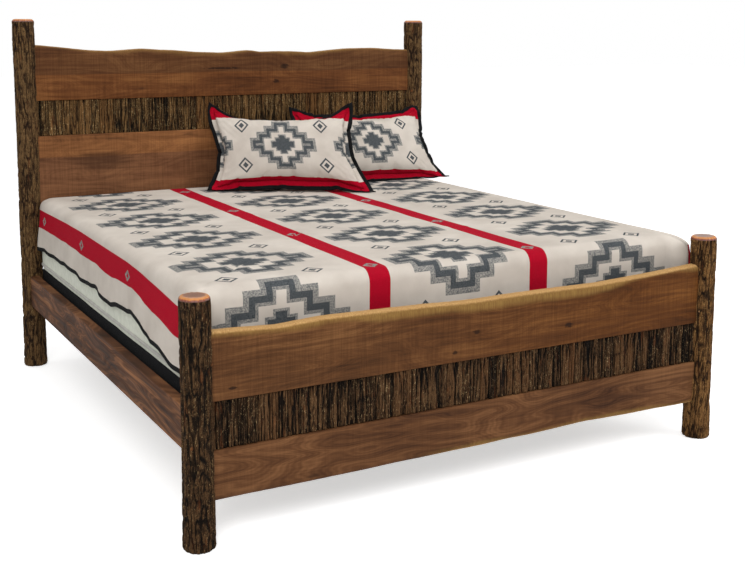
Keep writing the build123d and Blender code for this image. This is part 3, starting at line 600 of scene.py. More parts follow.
def log_piece(name, side, end, height, seed, material, knots):
    """A bark-on log with a cut top. Knots are given by height, angle and size."""
    top = height - TOP_EASE
    levels = np.concatenate([[0.0, 0.003], np.arange(0.008, top - 0.004, LOG_STEP), [top]])
    z, angle = np.meshgrid(levels, np.linspace(0, 2 * math.pi, LOG_COLUMNS, endpoint=False), indexing="ij")
    cos, sin = np.cos(angle), np.sin(angle)
    relief = bark_relief(BARK_REACH * cos + seed, BARK_REACH * sin, z, seed)
    knot = 0 * z
    for knot_z, knot_angle, size in knots:
        turn = np.angle(np.exp(1j * (angle - knot_angle)))
        knot = np.maximum(knot, np.exp(-(np.hypot((z - knot_z) / size, turn * BARK_REACH / size) ** 2)))
    radius = BASE_RADIUS + (TOP_RADIUS - BASE_RADIUS) * np.minimum(1, 4 * z / height)
    radius = radius + 0.0012 * noise(cos * 1.3, sin * 1.3, z * 6, seed + 9) - 0.0040 + 0.0052 * relief + 0.004 * knot
    radius = radius - 0.0035 * (1 - smoothstep(0, 0.008, z))
    middle_x = side * POST_X + 0.0012 * np.sin(z * 5 + seed)
    middle_y = end * POST_Y + 0.0012 * np.cos(z * 4 + seed)
    bark = np.stack([middle_x + radius * cos, middle_y + radius * sin, z], -1)
    inset, below = np.array(TOP_PROFILE).T[..., None]
    r = radius[-1] - inset + 0.0006 * noise(cos[0] * 3, sin[0] * 3, inset * 90, seed)
    cut = np.stack([middle_x[-1] + r * cos[0], middle_y[-1] + r * sin[0], height - below + 0 * r], -1)
    cloud = np.concatenate([bark, cut])
    values = {
        "bark": np.concatenate([relief, RIM_BARK + 0 * r]),
        "inward": np.concatenate([0 * z, inset + 0 * r]),
        "knot": np.concatenate([smoothstep(0.45, 0.8, knot), 0 * r]),
        "tone": np.zeros(cloud.shape[:2]),
    }
    faces = grid_faces(len(cloud), LOG_COLUMNS, wrap=True) + end_caps(len(cloud), LOG_COLUMNS)
    is_cut = [min(f) >= (len(levels) - 1) * LOG_COLUMNS for f in faces]
    make_piece(f"{name}_log", cloud, faces, "bed_frame", [material, CUT_END], [name], values, is_cut)


log_piece("foot_post_left", -1, -1, FOOT_POST_HEIGHT, 1, BARK_DARK, [(0.575, -0.55, 0.007), (0.33, 4.0, 0.006)])
log_piece("foot_post_right", 1, -1, FOOT_POST_HEIGHT, 23, BARK_TAN, [(0.62, 3.6, 0.005)])
log_piece("head_post_left", -1, 1, HEAD_POST_HEIGHT, 47, BARK_MID, [(0.52, -0.6, 0.006)])
log_piece("head_post_right", 1, 1, HEAD_POST_HEIGHT, 71, BARK_MID, [(1.22, -2.2, 0.008)])

# --- planks --------------------------------------------------------------------------------------------------------
PLANK_STEP = 0.005
SAWN_EASE = 0.0022
NO_EDGE = 1.0  # the distance to a live edge where there is none


def wave_at(wave, x):
    """A live edge's rise at each x, in metres, smoothly through its points."""
    places, rises = np.array(wave).T * [[PLANK_HALF], [MM]]
    fine = np.linspace(places[0], places[-1], 400)
    kernel = np.hanning(17)
    padded = np.pad(np.interp(fine, places, rises), 8, mode="edge")
    return np.interp(x, fine, np.convolve(padded, kernel / kernel.sum(), mode="valid"))


def plank_piece(node, end, limits, material, over=None, under=None, seed=0):
    """A plank with softened sawn edges, and natural rounded edges where it is live."""
    bottom, top = limits
    x = np.arange(-PLANK_HALF, PLANK_HALF + PLANK_STEP / 2, PLANK_STEP)
    front = end * POST_Y - PLANK_THICKNESS / 2
    back = front + PLANK_THICKNESS
    ripple = 0.0012 * noise(x * 9, seed) + 0.0004 * noise(x * 45, seed + 3)
    high = top + (wave_at(over, x) + ripple if over else 0 * x)
    low = bottom + (wave_at(under, x) - 0.6 * ripple if under else 0 * x)

    def long_edge(level, up, live):
        """Rows round one long edge, up the section: each row's y, z and distance to the live edge."""
        depth = 0.010 + 0.003 * noise(x * 9, seed + 7) if live else SAWN_EASE
        drop = 0.021 + 0.006 * noise(x * 7, seed + 8) if live else SAWN_EASE
        rows = []
        for a in np.linspace(0, QUARTER, 7 if live else 4):
            rise = drop * (1 - np.sin(a))
            rows.append((front + depth * (1 - np.cos(a)), level - up * rise, rise if live else NO_EDGE))
        for a, swell, far in ((QUARTER, 0.0, 0.002), (1.5 * QUARTER, math.sqrt(0.5), 0.002), (math.pi, 0.0, 0.004)):
            rise = SAWN_EASE * (1 - math.sin(a))
            rows.append((back + SAWN_EASE * swell, level - up * rise, far if live else NO_EDGE))
        return rows if up > 0 else rows[::-1]

    def broad_side(first, last, count, face, unevenness):
        """Rows across one broad side, between the last row of one long edge and the first of the other."""
        rows = []
        for k in range(1, count):
            z = first[1] + 0 * x + (last[1] - first[1]) * k / count
            far = np.minimum(high - z if over else NO_EDGE, z - low if under else NO_EDGE)
            y = face + unevenness * noise(x * 8, z * 30, 0, seed + 11)
            rows.append((y, z, np.minimum(far, NO_EDGE)))
        return rows

    low_edge, high_edge = long_edge(low, -1, under), long_edge(high, 1, over)
    rows = low_edge + broad_side(low_edge[-1], high_edge[0], 10, front, 0.0003)
    rows += high_edge + broad_side(high_edge[-1], low_edge[0], 6, back, 0.0)
    y, z, edge = (np.array([row[k] + 0 * x for row in rows]) for k in range(3))
    faces = [f[::-1] for f in grid_faces(*y.shape, loop=True)] + side_caps(*y.shape)
    board = np.stack([x + 0 * y, y, z], -1)
    values = {"edge": edge, "upper": (z - bottom) / (top - bottom)}
    make_piece(f"{node}_board", board, faces, "bed_frame", [material], [node], values)


plank_piece("footboard_top_plank", -1, FOOT_UPPER, WALNUT_FOOT_TOP, over=FOOT_TOP_WAVE, seed=3)
plank_piece("footboard_lower_plank", -1, FOOT_LOWER, WALNUT_FOOT_LOW, under=FOOT_UNDER_WAVE, seed=5)
plank_piece("headboard_top_plank", 1, HEAD_UPPER, WALNUT_HEAD_TOP, over=HEAD_TOP_WAVE, seed=9)
plank_piece("headboard_lower_plank", 1, HEAD_LOWER, WALNUT_HEAD_LOW, seed=12)

# --- bark slabs ----------------------------------------------------------------------------------------------------
SLAB_BACK = 0.017  # from the planks' front to the backer that the slabs lie on
SLAB_CROWN, SLAB_THINNEST, SLAB_THICKEST = 0.0088, 0.0006, 0.0128
SLAB_GAP = 0.0004  # from a slab's side to the line it shares with the next
SLAB_END_GAP = 0.0006  # from a slab's end to the plank
SLAB_ROW, SLAB_COLUMN = 0.004, 0.0014  # sizes of a cell along and across a slab


def slab_limits():
    count = round(2 * PLANK_HALF / SLAB_PITCH)
    widths = [1 + 0.28 * math.sin(2.4 * k) * math.cos(0.7 * k) for k in range(count)]
    edges = -PLANK_HALF + 2 * PLANK_HALF / sum(widths) * np.concatenate([[0], np.cumsum(widths)])
    return list(zip(edges[:-1], edges[1:]))


def slab_band(node, end, bottom, top, seed, coarse, run, material):
    """Bark-faced slabs side by side, each with its own crown, furrows and tone.

    The bark's ridges are narrower where coarse is larger, and longer where run is larger."""
    back = end * POST_Y - PLANK_THICKNESS / 2 + SLAB_BACK
    levels = np.linspace(bottom + SLAB_END_GAP, top - SLAB_END_GAP, round((top - bottom) / SLAB_ROW))
    places, faces, bark_and_seam_shade, tones = [], [], [], []
    start = 0
    for k, (left, right) in enumerate(slab_limits()):
        columns = max(8, round((right - left) / SLAB_COLUMN))
        z, t = np.meshgrid(levels, np.linspace(0, 1, columns), indexing="ij")
        wobble = 0.0012 * noise(z * 24, k * 1.7, seed)
        x = left + SLAB_GAP + (right - left - 2 * SLAB_GAP) * t + wobble * np.sin(math.pi * t) * 0.6
        crown = SLAB_CROWN * (1 - 0.10 * (k % 3)) * (1 - np.abs(2 * t - 1) ** 6) ** 0.5 + 0.0016
        relief = bark_relief(x * coarse, 0 * x + k * 3.1, z, seed, run)
        y = back - np.clip(crown - 0.0045 + 0.0062 * relief, SLAB_THINNEST, SLAB_THICKEST)
        sheet = np.pad(np.stack([x, y, z], -1), ((1, 1), (1, 1), (0, 0)), mode="edge")
        sheet[[0, -1], :, 1] = sheet[:, [0, -1], 1] = back
        rows, columns = sheet.shape[:2]
        places.append(sheet.reshape(-1, 3))
        faces += grid_faces(rows, columns, start=start)
        # painted shade between slabs: the bark value falls towards each slab's sides and is 0 on its rim at the backer,
        # so the seams are painted dark
        bark_and_seam_shade.append(np.pad(relief * np.minimum(1, crown / 0.008), 1).ravel())
        tones.append(np.full(rows * columns, 0.7 * noise(k * 0.73, seed) + 0.5 * noise(k * 2.9, seed + 1)))
        start += rows * columns
    values = {"bark": np.concatenate(bark_and_seam_shade), "tone": np.concatenate(tones), "knot": np.zeros(start)}
    make_piece(f"{node}_bark", np.concatenate(places), faces, "bed_frame", [material], [node], values)


slab_band("footboard_bark_slabs", -1, FOOT_LOWER[1], FOOT_UPPER[0], seed=101, coarse=2.0, run=2.6, material=BARK_SLAB)
slab_band("headboard_bark_slabs", 1, HEAD_LOWER[1], HEAD_UPPER[0], seed=131, coarse=1.9, run=2.2,
          material=BARK_SLAB_HEAD)

# --- mattress and foundation ---------------------------------------------------------------------------------------
BOX_COLUMNS = 420
TAPE_SIDE, TAPE_BEND, TAPE_COLUMNS = 60, 12, 12  # cells along a side, round a corner and round the tape


def soft_box(name, node, body, material, wider, longer, moved, low, high, corner, edge, low_edge, bulge, seed,
             side_rows):
    """A closed upholstered box: crowned sides, rounded edges and a soft unevenness, flat underneath.

    wider, longer and moved are added to the mattress's half width, half length and shift."""
    half_x, half_y = MATTRESS_HALF_WIDTH + wider - corner, MATTRESS_HALF_LENGTH + longer - corner
    shift = MATTRESS_SHIFT + moved
    bend = QUARTER * corner
    around = np.linspace(0, 4 * (half_x + half_y + bend), BOX_COLUMNS, endpoint=False)
    x, y, out_x, out_y = rounded_ring(half_x, half_y, 2 * half_x, 2 * half_y, bend, around)
    turns = np.linspace(0, QUARTER, 6)
    levels = [(-low_edge * (1 - math.sin(a)), low + low_edge * (1 - math.cos(a))) for a in turns]
    levels += [(0.0, z) for z in np.linspace(low + low_edge, high - edge, side_rows)[1:-1]]
    levels += [(-edge * (1 - math.cos(a)), high - edge * (1 - math.sin(a))) for a in turns]
    inset, z = np.array(levels).T[..., None]
    t = (z - low) / (high - low)
    puff = bulge * 4 * t * (1 - t) + 0.0012 * noise(around * 9, z * 20, 0, seed) * (1 - (inset / edge) ** 2)
    reach = corner + inset + puff
    side = np.stack([x + out_x * reach, y + out_y * reach + shift, z + 0 * reach], -1)
    share = 1 - np.arange(1, 7)[:, None] / 7
    lid = np.stack([side[-1, :, 0] * share, (side[-1, :, 1] - shift) * share + shift, high + 0 * share * around], -1)
    grid = np.concatenate([side, lid])
    faces = grid_faces(len(grid), BOX_COLUMNS, wrap=True) + end_caps(len(grid), BOX_COLUMNS)
    return make_piece(name, grid, faces, body, [material], [node])


def tape_ring(corner, wider, longer, moved, z, seed):
    """A stitched tape round the mattress, a flattened tube that follows its rounded outline."""
    half_x, half_y = MATTRESS_HALF_WIDTH + wider - corner, MATTRESS_HALF_LENGTH + longer - corner
    count = 4 * (TAPE_SIDE + TAPE_BEND)
    cells = (TAPE_SIDE + np.arange(count)) % count
    x, y, out_x, out_y = (c[:, None] for c in rounded_ring(half_x, half_y, TAPE_SIDE, TAPE_SIDE, TAPE_BEND, cells))
    angles = np.linspace(0, 2 * math.pi, TAPE_COLUMNS, endpoint=False)
    out = corner + 0.0012 + 0.0034 * np.cos(angles)
    lift = 0.0006 * noise(np.arange(count) * 0.37, seed)[:, None]
    grid = np.stack([x + out_x * out, y + MATTRESS_SHIFT + moved + out_y * out, z + lift + 0.0068 * np.sin(angles)], -1)
    faces = [f[::-1] for f in grid_faces(count, TAPE_COLUMNS, wrap=True, loop=True)]
    make_piece("mattress_tape", grid, faces, "mattress", [TAPE], ["mattress_tape_edge"])


def dust_sheet():
    x, y = np.linspace(-0.960, 0.960, 60), np.linspace(-1.010, 1.010, 60) + MATTRESS_SHIFT
    yy, xx = np.meshgrid(y, x, indexing="ij")
    z = FOUNDATION_LOW + 0.0006 + 0.0004 * (1 + noise(xx * 5, yy * 5, 0, 31))
    piece = make_piece("foundation_dust_sheet", np.stack([xx, yy, z], -1), grid_faces(60, 60), "foundation",
                       [BLACK_CLOTH], ["foundation_dust_cover"])


mattress = soft_box("mattress_body", "mattress", "mattress", TICKING, wider=0.012, longer=0.003,
                    moved=0.011, low=FOUNDATION_TOP, high=MATTRESS_TOP - 0.001, corner=0.020, edge=0.032,
                    low_edge=0.004, bulge=0.004, seed=201, side_rows=26)
cover = soft_box("foundation_black_cover", "foundation_cover", "foundation", BLACK_CLOTH, wider=0.012,
                 longer=0.010, moved=0.006, low=FOUNDATION_LOW, high=FOUNDATION_TOP - 0.0003, corner=0.012,
                 edge=0.0025, low_edge=0.0025, bulge=0.002, seed=211, side_rows=12)
tape_ring(corner=0.020, wider=0.0135, longer=0.0045, moved=0.011, z=FOUNDATION_TOP + 0.023, seed=5)
dust_sheet()

# --- blanket -------------------------------------------------------------------------------------------------------
CORNER, EDGE = 0.060, 0.044  # radius of the blanket's corners seen from above, and of its upper edges
LIE = 0.0022  # how far the blanket's middle lies outside the mattress
BLANKET_THICKNESS = 0.0032
BLANKET_CELL = 0.012
HEM = 0.486  # the level that the cloth's length is counted to
POST_CLEARANCE, MATTRESS_CLEARANCE = 0.060, 0.0026
# the side hems: places along the bed, and the level at each
HEM_LEVELS = ((-0.96, -0.918, -0.786, -0.688, -0.60, -0.52, -0.477, -0.388, -0.244, -0.13, -0.05, 0.099, 0.231, 0.33,
               0.43, 0.63, 0.846, 1.04),
              (0.474, 0.481, 0.497, 0.520, 0.516, 0.530, 0.552, 0.565, 0.556, 0.541, 0.543, 0.564, 0.550, 0.548,
               0.560, 0.556, 0.560, 0.548))
BINDING_WIDTH = 0.014
BINDING_HALF = BLANKET_THICKNESS / 2 + 0.0013
# the binding's section: out from the cloth in half thicknesses, a further distance out, and up from the hem
BINDING_SECTION = ((-1, 0, BINDING_WIDTH), (-1, -0.0004, BINDING_WIDTH / 2), (-1, 0, 0), (-0.7, 0, -0.0022),
                   (0, 0, -0.0034), (0.7, 0, -0.0022), (1, 0, 0), (1, 0.0004, BINDING_WIDTH / 2),
                   (1, 0, BINDING_WIDTH), (0.35, 0, BINDING_WIDTH + 0.0006), (-0.35, 0, BINDING_WIDTH + 0.0006))
BINDING_LOOK = 8  # cells in from the hem, where the cloth's direction there is taken from


def blanket_grid():
    """The blanket as a grid: each point's place on the bed, and the flat lengths across and along the cloth."""
    centre_x = MATTRESS_HALF_WIDTH - CORNER
    head, foot = MATTRESS_SHIFT + MATTRESS_HALF_LENGTH + 0.004, MATTRESS_SHIFT - MATTRESS_HALF_LENGTH + CORNER
    lie, flat = MATTRESS_TOP + LIE, CORNER - EDGE + LIE
    bent = flat + EDGE * QUARTER  # the length of cloth from a corner's middle line to where it hangs straight
    drop = bent + (lie - EDGE - HEM)
    side = np.concatenate([np.linspace(0, bent, 14), np.linspace(bent, drop, 44)[1:]])
    across, along = (np.arange(0, size, BLANKET_CELL)[1:] for size in (2 * centre_x, head - foot))
    u = np.concatenate([-centre_x - side[::-1], -centre_x + across[across < 2 * centre_x - 0.004], centre_x + side])
    v = np.concatenate([foot - side[::-1], foot + along[along < head - foot - 0.004], [head]])
    vv, uu = np.meshgrid(v, u, indexing="ij")
    hand = np.sign(uu)
    over_x, over_y = np.maximum(0, np.abs(uu) - centre_x), np.maximum(0, foot - vv)
    s = np.maximum(over_x, over_y)
    on_side, corner, footward = s > 0, (over_x > 0) & (over_y > 0), over_y > over_x
    phi = np.where(over_y > 0, QUARTER, 0)
    phi = np.where(corner, np.arctan2(over_y, np.maximum(over_x, 1e-9)), phi)
    # the side hems hang unevenly: highest along the middle of the bed, lowest towards the foot, with soft waves
    y_place = np.where(over_y > 0, foot, vv)
    lower = HEM - np.interp(y_place, *HEM_LEVELS)
    wave = 0.002 * noise(y_place * 6.1, hand * 7, 0, 61) + 0.0045 * noise(y_place * 16, hand * 5, 0, 62)
    extra = np.where(footward, 0.012 + 0.005 * noise(uu * 3.4, 3, 0, 63), lower + wave)
    extra = np.where(corner, 0.012 + 0.5 * wave + 0.004 * np.sin(phi * 6), extra)
    length = s + np.clip(s - bent, 0, None) / (drop - bent) * extra
    bend = np.clip((length - flat) / EDGE, 0, QUARTER)
    reach = np.minimum(length, flat) + EDGE * np.sin(bend)
    level = lie - EDGE * (1 - np.cos(bend)) - np.maximum(0, length - bent)
    # folds that open towards the hem
    swing = 0.5 + 0.5 * noise(y_place * 4.2 + 0.4 * s, hand * 3, 0, 71)
    ripple = 0.5 + 0.5 * noise(y_place * 13.0, hand * 2, s * 3, 72)
    cross = 0.5 + 0.5 * noise(uu * 3.6, 9, 0, 73)
    out = np.where(footward, 0.008 * cross, 0.006 + 0.009 * swing + 0.010 * ripple)
    out = np.where(corner, 0.008 + 0.004 * np.sin(phi * 4) ** 2, out) * smoothstep(flat, drop, s)
    # the sides stand off more than the foot, and the corners more still
    turned = smoothstep(0, bent, s)
    out = out + 0.013 * turned * np.clip(1 - 2 * (phi - QUARTER / 2) / QUARTER, 0, 1)
    out = out + np.where(corner, 0.022 * np.sin(2 * phi) ** 2 * smoothstep(0, bent + 0.10, s), 0)
    # beside the right foot post the side hangs well away from the mattress
    belly = smoothstep(0.35, 0.85, -y_place) * (1 - smoothstep(0.55, 1.35, phi)) * turned
    reach = reach + out + np.where(uu > 0, 0.044 * belly, 0)
    x = np.clip(uu, -centre_x, centre_x) + np.where(on_side, hand * np.cos(phi) * reach, 0)
    y = np.maximum(vv, foot) - np.where(on_side, np.sin(phi) * reach, 0)
    # the top: a soft unevenness, with long shallow ridges where the cloth was smoothed by hand
    lumps = 0.0011 * (1 + noise(uu * 4, vv * 4, 0, 81)) + 0.0008 * (1 + noise(uu * 11, vv * 7, 0, 82))
    ridge = 0.0016 * np.exp(-((noise(uu * 2.1, vv * 3.3, 0, 83) / 0.12) ** 2))
    z = np.where(on_side, level, lie) + (1 - turned) * (lumps + ridge)
    share = phi / QUARTER
    cloth_u = np.where(corner, hand * (centre_x + s * np.where(footward, 1 - share, 1)), uu)
    cloth_v = np.where(corner, foot - s * np.where(footward, 1, share), vv)
    return np.stack([x, y, z], -1), cloth_u, cloth_v


def lay_over(points, piece, gap):
    """Places of a cloth, moved out to a gap from a piece where they would lie in it or nearer."""
    tree = BVHTree.FromPolygons([v.co[:] for v in piece.data.vertices], [p.vertices[:] for p in piece.data.polygons])
    laid = points.reshape(-1, 3).copy()
    for k, place in enumerate(laid):
        surface, normal, _, _ = tree.find_nearest(Vector(place))
        if (Vector(place) - surface).dot(normal) < gap:
            laid[k] = surface + normal * gap
    return laid.reshape(points.shape)


def clear_of_posts(points, radius):
    """Places of a cloth, moved sideways out to a distance from the middle line of each post."""
    clear = points.copy()
    for side, end in itertools.product((-1, 1), repeat=2):
        away = clear[..., :2] - (side * POST_X, end * POST_Y)
        far = np.hypot(away[..., 0], away[..., 1])[..., None]
        clear[..., :2] += away / far * np.maximum(0, radius - far)
    return clear


def hem_tape(points):
    """A folded tape that wraps the two side hems and the foot hem."""
    rows, columns = points.shape[:2]
    look = BINDING_LOOK
    looks = {0: look, columns - 1: columns - 1 - look}
    hem = [(i, 0) for i in range(rows - 1, -1, -1)] + [(0, j) for j in range(1, columns)]
    hem += [(i, columns - 1) for i in range(1, rows)]
    inward = [(i, looks[j]) if i > look and j in looks else (look, j) for i, j in hem]
    edge = np.array([points[place] for place in hem])
    along = unit(np.gradient(edge, axis=0))
    up = np.array([points[place] for place in inward]) - edge
    up = unit(up - (up * along).sum(1)[:, None] * along)
    out = np.cross(up, along)
    away = edge - (0, MATTRESS_SHIFT, 0)
    out = np.where((out * away * (1, 1, 0)).sum(1)[:, None] < 0, -out, out)
    grid = np.array([edge + out * (BINDING_HALF * share + more) + up * rise for share, more, rise in BINDING_SECTION])
    faces = grid_faces(*grid.shape[:2], loop=True) + [f[::-1] for f in side_caps(*grid.shape[:2])]
    return make_piece("blanket_hem_tape", grid, faces, "mattress", [BINDING], ["blanket_binding"])


def blanket_pieces():
    points, cloth_u, cloth_v = blanket_grid()
    points = lay_over(clear_of_posts(points, POST_CLEARANCE), mattress, MATTRESS_CLEARANCE)
    sheet = make_piece("blanket_cloth", points, grid_faces(*cloth_u.shape), "mattress", [BLANKET],
                       ["blanket"], {"cloth_u": cloth_u, "cloth_v": cloth_v})
    solid = sheet.modifiers.new("thickness", "SOLIDIFY")
    solid.thickness, solid.offset = BLANKET_THICKNESS, 0.0
    tape = hem_tape(points)


blanket_pieces()

# --- pillows -------------------------------------------------------------------------------------------------------
PILLOW_WIDTH, PILLOW_HEIGHT, PILLOW_THICKNESS = 0.770, 0.470, 0.150
FLANGE = 0.041
FLANGE_CELLS = 5
BODY_CELLS = (104, 60)
BED = MATTRESS_TOP + LIE + BLANKET_THICKNESS / 2  # the blanket's upper face
HEADBOARD_FACE = 1.0566  # how far back a pillow may reach
SHAM_FRAMES = 22
SHAM_CLOTH = {"quality": 6, "mass": 0.25, "tension_stiffness": 14, "compression_stiffness": 14, "shear_stiffness": 6,
              "bending_stiffness": 0.35, "air_damping": 3, "use_pressure": True, "uniform_pressure_force": 5.0,
              "vertex_group_pressure": "stuffed"}
WAIST = (-1, -0.8, -0.3, 0.4, 1)  # shares of the half height at which a sham's widths are given
ROLL_START = 0.085  # height above a sham's middle from which its top rolls back


def cell_lines(size, cells):
    """Grid lines across a sham: flange, stuffed part, flange."""
    outer, inner = size / 2, size / 2 - FLANGE
    return np.concatenate([np.linspace(-outer, -inner, FLANGE_CELLS, endpoint=False),
                           np.linspace(-inner, inner, cells, endpoint=False),
                           np.linspace(inner, outer, FLANGE_CELLS + 1)])


def blown_sham(seed):
    """A sham as sewn, blown up by its filling: flat lengths, places of its front and back, and where these part."""
    sides = ((PILLOW_HEIGHT, BODY_CELLS[1]), (PILLOW_WIDTH, BODY_CELLS[0]))
    vv, uu = np.meshgrid(*(cell_lines(size, cells) for size, cells in sides), indexing="ij")
    rows, columns = uu.shape
    first, flat_count = FLANGE_CELLS, uu.size
    inside = np.zeros((rows, columns), bool)
    inside[first + 1 : rows - first - 1, first + 1 : columns - first - 1] = True
    dome = [np.clip(1 - (flat / (size / 2 - FLANGE)) ** 2, 0, 1) for flat, (size, _) in zip((uu, vv), sides[::-1])]
    rise = 0.002 + 0.010 * (dome[0] * dome[1]) + 0.0012 * noise(uu * 14, vv * 14, 0, seed)
    front = np.stack([uu, vv, np.where(inside, rise, 0.0008 * noise(uu * 20, vv * 20, 0, seed + 3))], -1)
    vertices = np.concatenate([front.reshape(-1, 3), np.stack([uu, vv, -rise], -1)[inside]])
    mesh = bpy.data.meshes.new("sham_sewn")
    mesh.from_pydata(vertices.tolist(), [], sewn_faces(inside, first))
    sewn = bpy.data.objects.new("sham_sewn", mesh)
    scene.collection.objects.link(sewn)
    stuffed = np.arange(flat_count).reshape(rows, columns)[first : rows - first, first : columns - first].ravel()
    group = sewn.vertex_groups.new(name="stuffed")
    group.add(np.concatenate([stuffed, np.arange(flat_count, len(vertices))]).tolist(), 1.0, "REPLACE")
    cloth = sewn.modifiers.new("cloth", "CLOTH")
    for key, value in SHAM_CLOTH.items():
        setattr(cloth.settings, key, value)
    cloth.settings.effector_weights.gravity = 0
    cloth.collision_settings.use_collision = False
    cloth.collision_settings.use_self_collision = False
    for frame_number in range(1, SHAM_FRAMES + 1):
        scene.frame_set(frame_number)
    shape = sewn.evaluated_get(bpy.context.evaluated_depsgraph_get()).data
    places = np.empty(len(vertices) * 3, np.float32)
    shape.vertices.foreach_get("co", places)
    places = places.reshape(-1, 3).astype(float)
    scene.frame_set(1)
    bpy.data.objects.remove(sewn)
    bpy.data.meshes.remove(mesh)
    places -= places[:flat_count].mean(0)
    front = places[:flat_count].reshape(rows, columns, 3)
    back = front.copy()
    back[inside] = places[flat_count:]
    thickness = float(front[..., 2].max() - back[..., 2].min())
    # the filling draws the sham in: the front and the flange are brought back to full size, the back's cloth isn't
    front[..., 0] *= 0.5 * PILLOW_WIDTH / np.abs(front[..., 0]).max()
    front[..., 1] *= 0.5 * PILLOW_HEIGHT / np.abs(front[..., 1]).max()
    for part in (front, back):
        part[..., 2] *= PILLOW_THICKNESS / thickness
    return uu, vv, front, back, inside


def pillow_frame(x, y, z, yaw, lean):
    """The pillow's middle and its directions: along, up and out of its front face."""
    turn, tilt = math.radians(yaw), math.radians(lean)
    along = np.array([math.cos(turn), math.sin(turn), 0])
    behind = np.array([-math.sin(turn), math.cos(turn), 0])
    up = behind * math.sin(tilt) + np.array([0, 0, math.cos(tilt)])
    return np.array([x, y, z]), along, up, np.cross(along, up)


def settle(points, spot, roll, shear, widths, ears, seed):
    """Places of a blown sham that leans: its top rolls back, its ears stand up and its foot spreads on the bed."""
    middle, along, up, front = spot
    a, b, c = points[..., 0], points[..., 1], points[..., 2]
    ra, rb = a / (PILLOW_WIDTH / 2), b / (PILLOW_HEIGHT / 2)
    upper, lower = smoothstep(0, 1, rb), smoothstep(0, 1, -rb)
    # puckers along the seams, creases out of the corners and slack in between
    in_a, in_b = PILLOW_WIDTH / 2 - FLANGE - np.abs(a), PILLOW_HEIGHT / 2 - FLANGE - np.abs(b)
    from_corner = np.hypot(in_a, in_b)
    stuffed = smoothstep(0, 0.02, in_a) * smoothstep(0, 0.02, in_b)
    pucker = wavy(95 * b, seed + 4) * np.exp(-in_a / 0.030) + wavy(85 * a, seed + 5) * np.exp(-in_b / 0.026)
    across = (in_a - in_b) + 0.012 * wavy(20 * (a + b), seed)
    crease = np.cos(across / 0.0062 + wavy(3 * a, seed)) * np.exp(-from_corner / 0.085)
    crease = crease * smoothstep(0.004, 0.05, from_corner)
    slack = wavy(16 * a + 9 * b, seed + 6) * wavy(7 * b - 5 * a, seed + 8)
    c = c + np.sign(c) * stuffed * (0.0022 * pucker + 0.0042 * crease + 0.0022 * slack)
    bend = roll * np.clip(1 - np.abs(ra) ** 1.7, 0, 1) + 1e-6
    turn = bend * np.clip(b - ROLL_START, 0, None)
    rolled = b > ROLL_START
    b, c = (np.where(rolled, ROLL_START + np.sin(turn) / bend + c * np.sin(turn), b),
            np.where(rolled, (np.cos(turn) - 1) / bend + c * np.cos(turn), c))
    b = b + ears * np.abs(ra) ** 5 * upper
    a = a * np.interp(rb, WAIST, widths) - shear * (rb + 1) / 2
    flutter = 0.006 * wavy(22 * b, seed) * np.abs(ra) ** 6 * (1 - lower)
    a = a + np.sign(ra) * (0.014 * np.abs(ra) ** 8 * lower**3 + flutter)
    c = c * (1 + 0.15 * lower) + 0.012 * wavy(17 * b, seed + 2) * np.abs(ra) ** 8
    world = middle + a[..., None] * along + b[..., None] * up + c[..., None] * front
    # what would sink into the bed spreads forward on it
    floor, seat = BED + 0.0042, 0.010
    depth = np.clip(floor + seat - world[..., 2], 0, None)
    toward = np.where(points[..., 2] > -0.012, 1.0, -0.25)
    world = world + (toward * depth * (0.9 * smoothstep(0, 0.05, depth) + 0.2))[..., None] * unit(front * (1, 1, 0))
    level = floor + 0.0035 * (1 + wavy(40 * a, seed)) * smoothstep(0.0, 0.03, depth) + seat * np.exp(-depth / 0.012)
    world[..., 2] = np.where(depth > 0, np.clip(world[..., 2], level, floor + seat), world[..., 2])
    world[..., 1] = np.minimum(world[..., 1], HEADBOARD_FACE)
    return world


